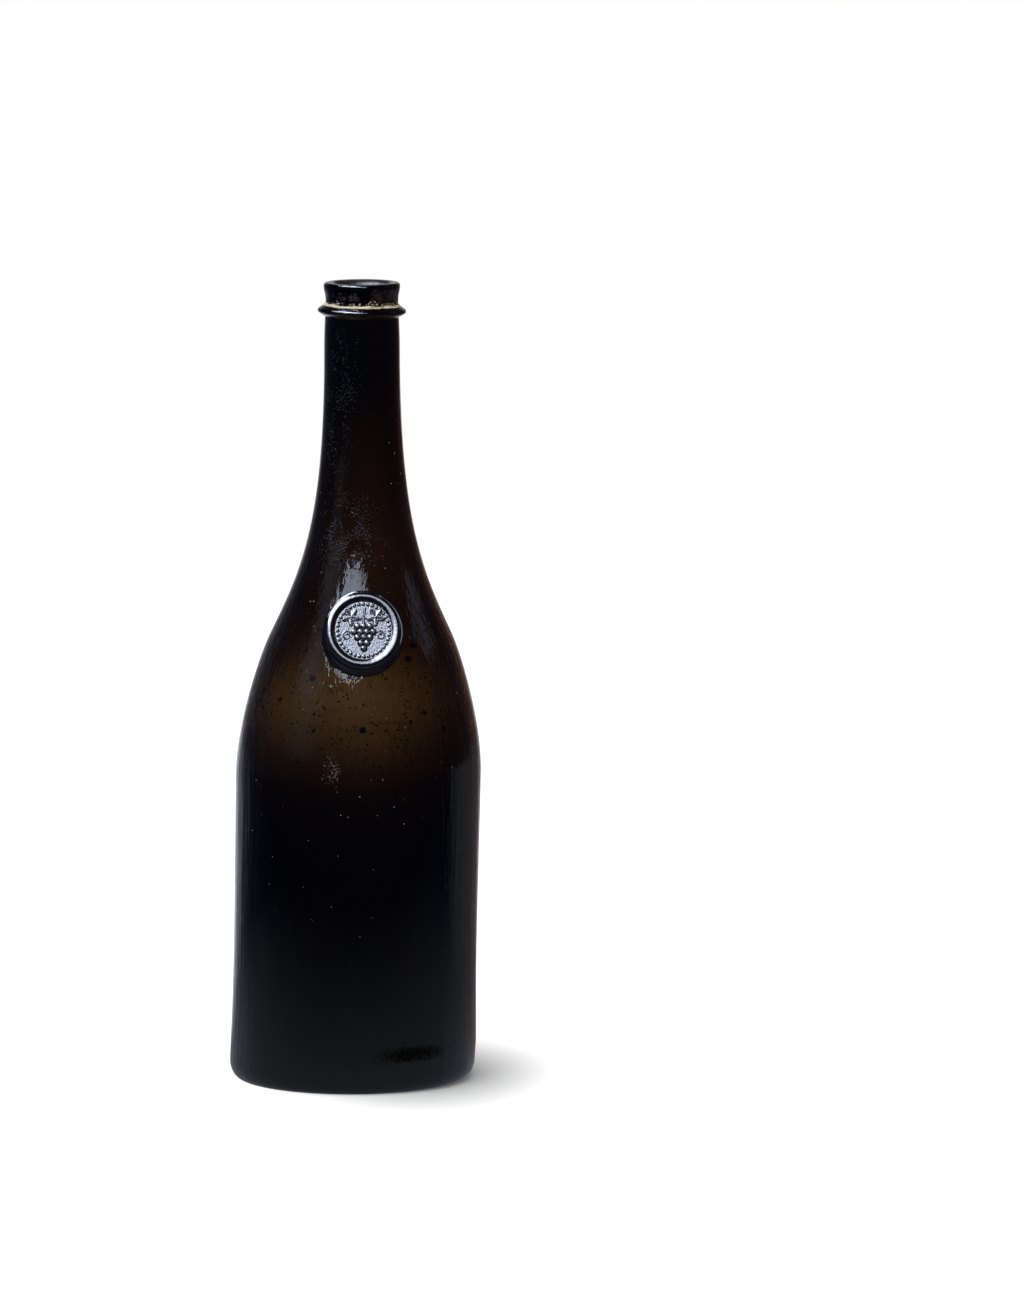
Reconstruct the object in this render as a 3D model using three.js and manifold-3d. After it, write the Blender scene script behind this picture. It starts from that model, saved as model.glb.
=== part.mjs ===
// Sealed wine bottle, free-blown in nearly black olive glass: the blown vessel, the string rim laid round its
// neck, the stamped seal on its shoulder, old sealing compound on the rim, and the pontil scar in its base.
// Millimetres, +Z up. The origin is the centre of the ring that the bottle stands on, and the seal faces -Y.

import * as THREE from 'three';
import { mergeVertices } from 'three/addons/utils/BufferGeometryUtils.js';
import Module from 'manifold-3d';

const wasm = await Module();
wasm.setup();

const { degToRad, lerp, smoothstep } = THREE.MathUtils;

// Heights of the stretches of the outline, from the foot up
const heelHeight = 6.5;
const bodyHeight = 108.5;
const shoulderHeight = 53.3;
const sweepHeight = 106.7;
const finishHeight = 25;

// Radii of the outline, and how steeply it leans in where the shoulder turns into the neck
const bodyRadius = 46.1;
const heelSwell = 0.4;
const waistDepth = 1.1;
const shoulderInset = 12.1;
const turnSlope = 0.47;
const neckRadius = 14.2;

// Lip: a slightly narrowed throat, then a flare, both measured from the neck
const throatNarrowing = 0.65;
const throatBelowLip = 7;
const lipFlare = 0.1;
const lipRounding = 1.2;
const boreRadius = 9.4;

// Foot: the ring it stands on, and the punt pushed up inside it
const wearRadius = 40;
const wearWidth = 4;
const puntDepth = 46;
const puntCrown = 14;
const puntSkirt = 21;

// Glass thickness. Blown glass is thin where it stretched, low on the shoulder, and thick at the heel
const bodyWall = 6;
const shoulderWall = 2.5;
const turnWall = 3.6;
const thinningHeight = 73;
const thinnestAboveBody = 28;
const thickeningHeight = 40;
const floorThickness = 9.5;
const puntWall = 6;
const troughInset = 5;
const troughHeight = 26;

// The body leans to +X on its foot, and the neck was straightened above it
const bodyLean = 0.0205;
const leanStraightHeight = 35;
const leanEasedHeight = 90;

// String rim
const rimBelowLip = 10.6;
const rimOverhang = 2.8;
const rimUpperHeight = 2.3;
const rimLowerHeight = 2.2;
const rimNose = 0.35;
const rimNoseSwell = 0.1;
const rimTilt = 1.2;

// Line of sealing compound in the corner between the string rim and the neck
const compoundThickness = 0.9;
const compoundHeight = 1.1;
const compoundWave = 0.12;

// Seal: a gather of glass pressed flat by a round die that struck a little above its centre
const sealAboveBody = 57.5;
const sealTurn = 0.5;
const sealRadius = 14.4;
const sealStretch = 1.06;
const sealThickness = 1.9;
const sealCorner = 2.2;
const sealSpread = 0.3;
const sealRootDepth = 2;
const strikeOffsetX = 0.1;
const strikeOffsetY = 1.4;
const stampRadius = 12.1;
const stampRidge = 2.8;
const stampRidgeWidth = 1.7;
const stampFloor = 1.3;
const fieldRadius = 10.6;

// Relief in the field of the seal: a bunch of grapes, two vine leaves and a ring of beads
const grapeRadius = 1.32;
const grapeSpacing = 2.36;
const grapeRows = [3, 4, 3, 2, 1];
const bunchTop = 1.5;
const leafRadius = 3.3;
const leafAcross = 4.6;
const leafUp = 4.9;
const leafTilt = 35;
const leafLobes = 5;
const leafLobeDepth = 0.22;
const leafSteps = 30;
const reliefHeight = 0.7;
const stalkWidth = 0.9;
const stalkTop = 7.8;
const beadRadius = 0.55;
const beadRingRadius = 9.65;
const beadCount = 36;

// Pontil scar: a broken ring of glass at the top of the punt
const scarRadius = 8.5;
const scarWidth = 5;
const scarThickness = 1.8;
const scarRaggedness = 0.6;

// Gap between pieces that touch, how far a cut runs past the edge it makes, and the facets round each form
const clearance = 0.3;
const cutMargin = 0.01;
const roundSteps = 60;
const sealSteps = 44;

const puntFoot = wearRadius - wearWidth / 2;
const heelStart = wearRadius + wearWidth / 2;
const heelRadius = bodyRadius + heelSwell;
const turnRadius = bodyRadius - shoulderInset;
const throatRadius = neckRadius - throatNarrowing;
const lipRadius = neckRadius + lipFlare;
const shoulderStart = heelHeight + bodyHeight;
const turnHeight = shoulderStart + shoulderHeight;
const neckStart = turnHeight + sweepHeight;
const height = neckStart + finishHeight;

// How far the bottle's axis stands off to +X at a height
function leanAt(z) {
  const easeStart = shoulderStart + leanStraightHeight;
  const eased = THREE.MathUtils.clamp(z - easeStart, 0, leanEasedHeight);
  return bodyLean * (Math.min(z, easeStart + leanEasedHeight) - eased ** 2 / (2 * leanEasedHeight));
}

// A curved stretch of outline between two points, pulled by two handles, all as [radius, height]
function stretch(...points) {
  return new THREE.CubicBezierCurve(...points.map(([r, z]) => new THREE.Vector2(r, z)));
}

// Handles as shares of their stretch: how flat the punt runs out, where the waist of the body lies, how full the
// shoulder is, and how early the sweep straightens
const puntRunOut = 0.09;
const waistAt = 0.32;
const waistEase = 0.5;
const waistLeft = 0.3;
const shoulderFullness = 0.375;
const turnEase = 0.15;
const sweepEase = 0.215;
const neckStraightness = 0.62;
const roundHandle = 0.55;

const handleAtTurn = (length) => [turnRadius - turnSlope * length, turnHeight + length];
const punt = stretch(
  [0, puntDepth],
  [puntCrown, puntDepth],
  [puntSkirt, puntRunOut * puntDepth],
  [puntFoot, 0],
);
const heel = stretch(
  [heelStart, 0],
  [lerp(heelStart, heelRadius, roundHandle), 0],
  [heelRadius, heelHeight * (1 - roundHandle)],
  [heelRadius, heelHeight],
);
const body = stretch(
  [heelRadius, heelHeight],
  [heelRadius - waistDepth, heelHeight + waistAt * bodyHeight],
  [bodyRadius - waistLeft * waistDepth, heelHeight + waistEase * bodyHeight],
  [bodyRadius, shoulderStart],
);
const shoulder = stretch(
  [bodyRadius, shoulderStart],
  [bodyRadius, shoulderStart + shoulderFullness * shoulderHeight],
  handleAtTurn(-turnEase * shoulderHeight),
  [turnRadius, turnHeight],
);
const sweep = stretch(
  [turnRadius, turnHeight],
  handleAtTurn(sweepEase * sweepHeight),
  [neckRadius, neckStart - neckStraightness * sweepHeight],
  [neckRadius, neckStart],
);
const throatHeight = height - throatBelowLip;
const finish = stretch(
  [neckRadius, neckStart],
  [neckRadius, lerp(neckStart, throatHeight, 0.5)],
  [throatRadius, lerp(neckStart, throatHeight, 0.9)],
  [throatRadius, throatHeight],
);
const flare = stretch(
  [throatRadius, throatHeight],
  [throatRadius, lerp(throatHeight, height, 0.4)],
  [lipRadius, lerp(throatHeight, height, 0.5)],
  [lipRadius, height - lipRounding],
);

// Points along a stretch without its first one, which the stretch before it already gave
const along = (curve, steps) => curve.getPoints(steps).slice(1);

// The same points moved off the curve to its right-hand side by a distance that may depend on the height
function beside(curve, shares, distanceAt) {
  return shares.map((share) => {
    const point = curve.getPoint(share);
    const tangent = curve.getTangent(share);
    const distance = distanceAt(point.y);
    return new THREE.Vector2(point.x + tangent.y * distance, point.y - tangent.x * distance);
  });
}
const evenShares = (steps) => Array.from({ length: steps + 1 }, (_, i) => i / steps);

// Glass thickness of the body, the shoulder, its turn and the neck, flowing into one another
function wallAt(z) {
  const neckWall = neckRadius - boreRadius;
  const thinnest = shoulderStart + thinnestAboveBody;
  const thickened = thinnest + thickeningHeight;
  const lower = lerp(bodyWall, shoulderWall, smoothstep(z, thinnest - thinningHeight, thinnest));
  const upper = lerp(lower, turnWall, smoothstep(z, thinnest, thickened));
  return lerp(upper, neckWall, smoothstep(z, thickened, neckStart));
}

const outside = [
  ...along(body, 3),
  ...along(shoulder, 8),
  ...along(sweep, 10),
  ...along(finish, 2),
  ...along(flare, 2),
];

// Radius of the outside at a height above the heel
function outerRadiusAt(z) {
  const above = outside.findIndex((point) => point.y >= z);
  const high = outside[Math.max(above, 1)];
  const low = outside[Math.max(above, 1) - 1];
  return lerp(low.x, high.x, (z - low.y) / (high.y - low.y));
}

// Height of the punt's outside at a radius
const puntLine = punt.getPoints(7);
function puntHeightAt(r) {
  const beyond = puntLine.findIndex((point) => point.x >= r);
  const [near, far] = [puntLine[beyond - 1], puntLine[beyond]];
  return lerp(near.y, far.y, (r - near.x) / (far.x - near.x));
}

// A turned solid about the Z axis, from an outline that runs anticlockwise round its section
function turned(outline, steps = roundSteps) {
  return new THREE.LatheGeometry(outline, steps).rotateX(Math.PI / 2);
}

// Shift every level of a geometry sideways by the lean of the bottle at that height
function leaned(geometry) {
  const position = geometry.attributes.position;
  for (let i = 0; i < position.count; i++) {
    position.setX(i, position.getX(i) + leanAt(position.getZ(i)));
  }
  return geometry;
}

function makeBottle() {
  const mouth = lipRadius - boreRadius;
  const lip = stretch(
    [lipRadius, height - lipRounding],
    [lipRadius, height - lipRounding * (1 - roundHandle)],
    [lipRadius - lipRounding * (1 - roundHandle), height],
    [lipRadius - lipRounding, height],
  );
  const lipInside = stretch(
    [boreRadius + 0.25 * mouth, height],
    [boreRadius + 0.1 * mouth, height],
    [boreRadius, height - 0.1 * mouth],
    [boreRadius, height - 0.3 * mouth],
  );
  const inward = (z) => -wallAt(z);
  const trough = puntFoot - 0.6 * troughInset;
  const bodyStart = beside(body, [0.25], inward)[0];
  const troughWall = stretch(
    [bodyStart.x, bodyStart.y],
    [bodyStart.x, floorThickness + 0.2 * troughHeight],
    [lerp(trough, bodyStart.x, 0.6), floorThickness],
    [trough, floorThickness],
  );
  const puntInside = stretch(
    [trough, floorThickness],
    [puntSkirt + 0.8 * troughInset, floorThickness],
    [puntCrown + 0.6 * puntWall, puntDepth + puntWall],
    [0, puntDepth + puntWall],
  );
  return leaned(turned([
    ...puntLine,
    new THREE.Vector2(heelStart, 0),
    ...along(heel, 4),
    ...outside,
    ...along(lip, 2),
    ...lipInside.getPoints(2),
    ...beside(sweep, evenShares(7), inward).reverse(),
    ...beside(shoulder, evenShares(5), inward).slice(0, -1).reverse(),
    ...beside(body, [0.25, 0.65, 0.85], inward).reverse(),
    ...along(troughWall, 4),
    ...along(puntInside, 7),
  ]));
}

// String rim, in its own frame: Z = 0 at its widest, and turned about Y to sit crooked
const rimHeight = height - rimBelowLip;
const rimRadius = outerRadiusAt(rimHeight) + rimOverhang;
const neckBesideRim = (z) => outerRadiusAt(rimHeight + z) + clearance;
const rimUpper = stretch(
  [rimRadius, rimNose],
  [rimRadius - 0.2 * rimOverhang, 0.55 * rimUpperHeight],
  [neckBesideRim(rimUpperHeight) + 0.3 * rimOverhang, 0.95 * rimUpperHeight],
  [neckBesideRim(rimUpperHeight), rimUpperHeight],
);
const rimLower = stretch(
  [neckBesideRim(-rimLowerHeight), -rimLowerHeight],
  [neckBesideRim(-rimLowerHeight) + 0.4 * rimOverhang, -0.8 * rimLowerHeight],
  [rimRadius - 0.2 * rimOverhang, -0.6 * rimLowerHeight],
  [rimRadius, -rimNose],
);

function makeStringRim() {
  const nose = new THREE.Vector2(rimRadius + rimNoseSwell, 0);
  const inside = new THREE.Vector2(neckBesideRim(0), 0);
  return turned([...rimLower.getPoints(4), nose, ...rimUpper.getPoints(4), inside, rimLower.getPoint(0)]);
}

// The compound fills the corner over the rim, in the rim's frame. Its top edge rises and falls round the neck
function makeCompound() {
  const bed = beside(rimUpper, [0.5, 0.75, 1], () => clearance);
  const foot = bed[bed.length - 1];
  const top = foot.y + compoundHeight;
  const neck = Math.max(neckBesideRim(top), foot.x);
  const section = [
    new THREE.Vector2(neck, foot.y),
    ...bed.slice(0, -1).reverse(),
    new THREE.Vector2(neck + compoundThickness, lerp(foot.y, top, 0.5)),
    new THREE.Vector2(neck, top),
    new THREE.Vector2(neck, foot.y),
  ];
  const geometry = turned(section);
  const position = geometry.attributes.position;
  for (let i = 0; i < position.count; i++) {
    const angle = Math.atan2(position.getY(i), position.getX(i));
    const share = Math.max(0, (position.getZ(i) - foot.y) / compoundHeight);
    const wave = Math.sin(5 * angle) + Math.sin(11 * angle + 1);
    position.setZ(i, position.getZ(i) + share * wave * compoundWave);
  }
  return geometry;
}

// Pontil scar, lying against the top of the punt, thinnest at its rim and ragged underneath
function makePontilScar() {
  const [innerRadius, outerRadius] = [scarRadius - scarWidth / 2, scarRadius + scarWidth / 2];
  const between = puntLine.map((point) => point.x).filter((r) => r > innerRadius && r < outerRadius);
  const roofAt = (r, drop) => new THREE.Vector2(r, puntHeightAt(r) - clearance - drop);
  const underside = [innerRadius, ...between, scarRadius].sort((a, b) => a - b);
  const geometry = turned([
    ...underside.map((r) => roofAt(r, scarThickness)),
    roofAt(outerRadius, 0.3 * scarThickness),
    ...[innerRadius, ...between, outerRadius].reverse().map((r) => roofAt(r, 0)),
    roofAt(innerRadius, scarThickness),
  ]);
  const position = geometry.attributes.position;
  for (let i = 0; i < position.count; i++) {
    const [x, y, z] = [position.getX(i), position.getY(i), position.getZ(i)];
    const angle = Math.atan2(y, x);
    const under = z < puntHeightAt(Math.hypot(x, y)) - 0.9 * scarThickness;
    const broken = under ? Math.sin(7 * angle) * Math.cos(4 * angle + 1) : 0;
    position.setZ(i, z + scarRaggedness * broken);
  }
  return leaned(geometry);
}

// A closed geometry as a solid that can be joined and cut
function solid(geometry) {
  const bare = geometry.clone();
  bare.deleteAttribute('normal');
  bare.deleteAttribute('uv');
  const merged = mergeVertices(bare, 1e-3);
  const corners = merged.index.array;
  const triVerts = [];
  for (let i = 0; i < corners.length; i += 3) {
    const [a, b, c] = corners.slice(i, i + 3);
    if (a !== b && b !== c && c !== a) triVerts.push(a, b, c);
  }
  return new wasm.Manifold(new wasm.Mesh({
    numProp: 3,
    vertProperties: new Float32Array(merged.attributes.position.array),
    triVerts: new Uint32Array(triVerts),
  }));
}

// A solid back as a geometry
function geometryOf(shape) {
  const mesh = shape.getMesh();
  const geometry = new THREE.BufferGeometry();
  geometry.setAttribute('position', new THREE.BufferAttribute(new Float32Array(mesh.vertProperties), 3));
  geometry.setIndex(new THREE.BufferAttribute(new Uint32Array(mesh.triVerts), 1));
  geometry.computeVertexNormals();
  return geometry;
}

// The vine motif, in the seal's frame: X across, Y up the shoulder, Z out of the seal
function makeRelief() {
  const pieces = [];
  const place = (geometry, x, y, turn = 0) => {
    geometry.rotateZ(turn).translate(x, y, 0);
    pieces.push(solid(geometry));
  };
  const rowStep = grapeSpacing * 0.86;
  grapeRows.forEach((count, row) => {
    for (let i = 0; i < count; i++) {
      const grape = new THREE.IcosahedronGeometry(grapeRadius, 1);
      grape.translate(0, 0, stampFloor - 0.3 * grapeRadius);
      place(grape, (i - (count - 1) / 2) * grapeSpacing, bunchTop - row * rowStep);
    }
  });
  const sunk = { depth: reliefHeight + stampFloor, bevelEnabled: false };
  for (const side of [-1, 1]) {
    const leaf = new THREE.Shape(Array.from({ length: leafSteps }, (_, i) => {
      const angle = (i / leafSteps) * 2 * Math.PI;
      const reach = leafRadius * (1 - leafLobeDepth * (1 - Math.cos(leafLobes * angle)));
      return new THREE.Vector2(reach * Math.cos(angle), reach * Math.sin(angle));
    }));
    place(new THREE.ExtrudeGeometry(leaf, sunk), side * leafAcross, leafUp, side * degToRad(leafTilt));
  }
  const stalk = new THREE.Shape([
    new THREE.Vector2(-stalkWidth / 2, bunchTop),
    new THREE.Vector2(stalkWidth / 2, bunchTop),
    new THREE.Vector2(stalkWidth, stalkTop),
    new THREE.Vector2(0, stalkTop),
  ]);
  place(new THREE.ExtrudeGeometry(stalk, sunk), 0, 0);
  for (let i = 0; i < beadCount; i++) {
    const angle = (i / beadCount) * 2 * Math.PI;
    const bead = new THREE.IcosahedronGeometry(beadRadius, 0).translate(0, 0, stampFloor);
    place(bead, beadRingRadius * Math.cos(angle), beadRingRadius * Math.sin(angle));
  }
  return wasm.Manifold.union(pieces);
}

// The frame that the seal is seated in: on the outside of the shoulder, square to its slope
const sealHeight = shoulderStart + sealAboveBody;
const sealSeatRadius = outerRadiusAt(sealHeight);
const sealFall = outerRadiusAt(sealHeight - sealRadius) - outerRadiusAt(sealHeight + sealRadius);
const sealSlope = sealFall / (2 * sealRadius);

function sealFrame() {
  const turn = degToRad(sealTurn);
  const front = new THREE.Vector3(Math.sin(turn), -Math.cos(turn), 0);
  const across = new THREE.Vector3(Math.cos(turn), Math.sin(turn), 0);
  const out = front.clone().add(new THREE.Vector3(0, 0, sealSlope)).normalize();
  const up = new THREE.Vector3().crossVectors(out, across);
  const seat = front.clone().multiplyScalar(sealSeatRadius);
  seat.x += leanAt(sealHeight);
  seat.z = sealHeight;
  return new THREE.Matrix4().makeBasis(across, up, out).setPosition(seat);
}

function makeSeal() {
  const foot = sealRadius + sealSpread;
  const fallAway = sealSeatRadius - Math.sqrt(sealSeatRadius ** 2 - (foot + strikeOffsetX) ** 2);
  const root = fallAway + sealRootDepth;
  const flank = stretch(
    [foot, -root],
    [sealRadius + 0.3 * sealSpread, 0.1 * sealThickness],
    [sealRadius - 0.35 * sealCorner, sealThickness],
    [sealRadius - sealCorner, sealThickness],
  );
  const gather = turned([
    new THREE.Vector2(0, -root),
    ...flank.getPoints(5),
    new THREE.Vector2(0, sealThickness),
  ], sealSteps).translate(-strikeOffsetX, -strikeOffsetY, 0);
  const ridge = stretch(
    [stampRadius + stampRidgeWidth, 0],
    [stampRadius + stampRidgeWidth, 0.8 * stampRidge],
    [stampRadius + 0.6 * stampRidgeWidth, stampRidge],
    [stampRadius, stampRidge],
  );
  const raised = turned([
    new THREE.Vector2(0, 0),
    ...ridge.getPoints(3),
    new THREE.Vector2(0, stampRidge),
  ], sealSteps);
  const bowl = stretch(
    [fieldRadius, stampFloor],
    [lerp(fieldRadius, stampRadius, 0.5), stampFloor],
    [lerp(fieldRadius, stampRadius, 0.5), stampRidge],
    [stampRadius, stampRidge + cutMargin],
  );
  const field = turned([
    new THREE.Vector2(0, stampFloor),
    ...bowl.getPoints(4),
    new THREE.Vector2(stampRadius, 2 * stampRidge),
    new THREE.Vector2(0, 2 * stampRidge),
  ], sealSteps);
  const stamped = solid(gather).add(solid(raised)).subtract(solid(field)).add(makeRelief());
  const placed = geometryOf(stamped).scale(1, sealStretch, 1).applyMatrix4(sealFrame());
  return geometryOf(solid(placed).subtract(shoulderSeat()));
}

// The bottle's outside beside the seal, grown by the clearance, to cut the seal's seat with
function shoulderSeat() {
  const [low, high] = [sealHeight - 2 * sealRadius, sealHeight + 2 * sealRadius];
  const grown = [
    ...beside(body, evenShares(3), () => clearance),
    ...beside(shoulder, evenShares(8), () => clearance).slice(1),
    ...beside(sweep, evenShares(10), () => clearance).slice(1),
  ];
  const near = grown.filter((point) => point.y > low && point.y < high);
  const outline = [
    new THREE.Vector2(0, near[0].y),
    ...near,
    new THREE.Vector2(0, near[near.length - 1].y),
  ];
  return solid(leaned(turned(outline)));
}

const blackGlass = new THREE.MeshStandardMaterial({ color: 0x120e08, roughness: 0.08, metalness: 0 });
const rimGlass = new THREE.MeshStandardMaterial({ color: 0x0e0c0b, roughness: 0.1, metalness: 0 });
const sealGlass = new THREE.MeshStandardMaterial({ color: 0x17161a, roughness: 0.2, metalness: 0 });
const scarGlass = new THREE.MeshStandardMaterial({ color: 0x1a150c, roughness: 0.35, metalness: 0 });
const creamCompound = new THREE.MeshStandardMaterial({ color: 0xd9cfa3, roughness: 0.9, metalness: 0 });

function piece(name, geometry, material) {
  const mesh = new THREE.Mesh(geometry, material);
  mesh.name = name;
  return mesh;
}

const crookedRim = new THREE.Group();
crookedRim.position.set(leanAt(rimHeight), 0, rimHeight);
crookedRim.rotation.y = degToRad(rimTilt);
crookedRim.add(
  piece('string_rim', makeStringRim(), rimGlass),
  piece('sealing_compound', makeCompound(), creamCompound),
);

const wineBottle = new THREE.Group();
wineBottle.add(
  piece('bottle', makeBottle(), blackGlass),
  crookedRim,
  piece('seal_pad', makeSeal(), sealGlass),
  piece('pontil_scar', makePontilScar(), scarGlass),
);

export default wineBottle;
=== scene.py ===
# %% [markdown]
# # A sealed wine bottle in black glass
# The bottle was blown and finished by hand: a leaning body with thick walls, a long neck, an applied
# string rim, a flat stamped seal on its shoulder and a deep punt in its base. The CAD model gives the
# true size and place of each of these solids. This script dresses it: every solid gets a finer mesh on
# the same curves and a glass or crust finish made of nodes. Everything is in metres, in the CAD model's
# own frame, and curves are written in millimetres.

# %% Load the CAD model as a fixed frame
import math

import bpy
import numpy as np
from mathutils import Matrix, Vector, noise


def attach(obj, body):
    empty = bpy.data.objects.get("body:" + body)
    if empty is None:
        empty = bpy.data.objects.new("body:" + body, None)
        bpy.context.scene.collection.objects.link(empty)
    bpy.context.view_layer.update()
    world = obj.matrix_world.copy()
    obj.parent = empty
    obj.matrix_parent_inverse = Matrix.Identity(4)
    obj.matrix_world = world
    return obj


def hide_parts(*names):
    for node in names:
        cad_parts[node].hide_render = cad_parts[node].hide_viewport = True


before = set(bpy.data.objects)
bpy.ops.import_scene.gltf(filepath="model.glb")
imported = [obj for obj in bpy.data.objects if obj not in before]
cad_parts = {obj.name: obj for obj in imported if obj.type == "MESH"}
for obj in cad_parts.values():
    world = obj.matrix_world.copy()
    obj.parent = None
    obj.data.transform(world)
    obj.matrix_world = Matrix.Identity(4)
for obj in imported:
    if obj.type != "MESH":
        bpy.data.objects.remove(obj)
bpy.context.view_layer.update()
MM = 0.001

# %% [markdown]
# ## The camera
# A long lens from 3.6 metres away looks down at 7 degrees, so the bottle shows almost no perspective. The
# values come from how high the foot, the seal and the lip stand in the picture.

# %% Camera, and a helper that puts an object in the scene
CAMERA_DISTANCE, CAMERA_HEIGHT = 3.6, 0.62
FOCAL_LENGTH, LOOK_DOWN, LOOK_RIGHT = 269.07, 7.242, 0.9553


def placed(name, data):
    """A new object with this data, linked to the scene."""
    made = bpy.data.objects.new(name, data)
    bpy.context.scene.collection.objects.link(made)
    return made


lens = bpy.data.cameras.new("camera")
lens.sensor_width = 36
lens.lens = FOCAL_LENGTH
camera = placed("camera", lens)
camera.location = (0, -CAMERA_DISTANCE, CAMERA_HEIGHT)
camera.rotation_euler = (math.radians(90 - LOOK_DOWN), 0, math.radians(-LOOK_RIGHT))
bpy.context.scene.camera = camera
print("Camera:", CAMERA_DISTANCE, "m away, looking down by", LOOK_DOWN, "degrees")

# %% [markdown]
# ## The outline
# A bottle that was turned on the blowpipe is one outline swung round an axis. The outline is a chain of
# Bezier stretches from the top of the punt, down and round the foot, up the body, shoulder and neck, over
# the lip and back down the inside. The same stretches made the CAD solids, here with more points on each.

# %% Outline of the outside
PUNT = [(0, 46), (14, 46), (21, 4.14), (38, 0)]
HEEL = [(42, 0), (44.48, 0), (46.5, 2.93), (46.5, 6.5)]
BODY = [(46.5, 6.5), (45.4, 41.22), (45.77, 60.75), (46.1, 115)]
SHOULDER = [(46.1, 115), (46.1, 134.99), (37.76, 160.31), (34, 168.3)]
SWEEP = [(34, 168.3), (23.22, 191.24), (14.2, 208.85), (14.2, 275)]
FINISH = [(14.2, 275), (14.2, 284), (13.55, 291.2), (13.55, 293)]
FLARE = [(13.55, 293), (13.55, 295.8), (14.3, 296.5), (14.3, 298.8)]
LIP = [(14.3, 298.8), (14.3, 299.46), (13.76, 300), (13.1, 300)]
LIP_INSIDE = [(12.1, 300), (10.8, 300), (9.4, 299.2), (9.4, 297.2)]


def along(points, steps, start=1):
    """Points on a Bezier stretch as an array of (radius, height), from step `start` on."""
    p = np.array(points, float)
    t = np.arange(start, steps + 1)[:, None] / steps
    return (1 - t) ** 3 * p[0] + 3 * t * (1 - t) ** 2 * p[1] + 3 * t**2 * (1 - t) * p[2] + t**3 * p[3]


def smoothstep(low, high, value):
    t = np.clip((value - low) / (high - low), 0, 1)
    return t * t * (3 - 2 * t)


HEEL_STEPS, LIP_STEPS = 14, 8
outer_wall = np.vstack([
    along(HEEL, HEEL_STEPS, 0), along(BODY, 36), along(SHOULDER, 30), along(SWEEP, 46),
    along(FINISH, 8), along(FLARE, 10), along(LIP, LIP_STEPS),
])
print("Outside wall:", len(outer_wall), "points up to", outer_wall[-1, 1], "mm")

# %% [markdown]
# ## The inside
# Blown glass is thick where it cooled first, at the heel and the neck, and thin over the shoulder where
# it stretched most. That is what the eye reads as colour: the shoulder glows brown and the rest is black.
# The inside is therefore the outside moved inwards by a thickness that flows with the height.

# %% Thickness of the glass and outline of the inside
BODY_WALL, SHOULDER_WALL, TURN_WALL, NECK_WALL = 6.0, 2.25, 3.6, 4.8


def wall_at(z):
    lower = BODY_WALL + (SHOULDER_WALL - BODY_WALL) * smoothstep(72, 145, z)
    upper = lower + (TURN_WALL - lower) * smoothstep(143, 182, z)
    return upper + (NECK_WALL - upper) * smoothstep(186, 275, z)


def moved_in(points):
    """The same stretch of wall, moved off its right-hand side by the thickness there."""
    run = np.gradient(points, axis=0)
    run /= np.linalg.norm(run, axis=1)[:, None]
    return points - np.column_stack([run[:, 1], -run[:, 0]]) * wall_at(points[:, 1])[:, None]


inner_neck = moved_in(along(SWEEP, 40, 0))[::-1]
inner_shoulder = moved_in(along(SHOULDER, 26, 0))[:-1][::-1]
inner_body = moved_in(along(BODY, 28, 7))[:-1][::-1]
corner = inner_body[-1]
TROUGH_RADIUS, TROUGH_FLOOR, DOME_TOP = 35, 9.5, 52
trough = along([corner, (corner[0], 14.7), (37.04, TROUGH_FLOOR), (TROUGH_RADIUS, TROUGH_FLOOR)], 12)
dome = along([(TROUGH_RADIUS, TROUGH_FLOOR), (25, TROUGH_FLOOR), (17.6, DOME_TOP), (0, DOME_TOP)], 26)
punt = along(PUNT, 26, 0)
outline = np.vstack([
    punt, outer_wall, along(LIP_INSIDE, 8, 0), inner_neck, inner_shoulder, inner_body, trough, dome,
])
inner_start = len(punt) + len(outer_wall)
print("Whole outline:", len(outline), "points; thinnest glass", wall_at(np.arange(100, 200)).min(), "mm")

# %% [markdown]
# ## Lean, slump and soft heel
# No free-blown bottle stands true. The body leans to the right on its foot and the neck was straightened
# while the glass was soft. The heel is a little rounder on the right than on the left. The cavity of the
# shoulder is a little narrower than it is deep and lies to the left of the outside, so the glass is
# thickest on the right, where least light comes through. Each row of the outline carries these as
# numbers: how far its centre is shifted, and how much its radius differs on either side.

# %% Rows of the outline with their lean and heel
LEAN, BENDS_FROM, UPRIGHT_FROM = 0.0205, 150, 240
HEEL_LEFT, HEEL_RIGHT = -0.1, -0.7
INNER_OFFSET, SIDE_THICKER = 0.5, 0.6


def lean_at(z):
    """How far right of the foot's centre the axis is at a height: a straight lean that bends upright."""
    bend = UPRIGHT_FROM - BENDS_FROM
    return LEAN * (np.minimum(z, UPRIGHT_FROM) - np.clip(z - BENDS_FROM, 0, bend) ** 2 / (2 * bend))


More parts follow.
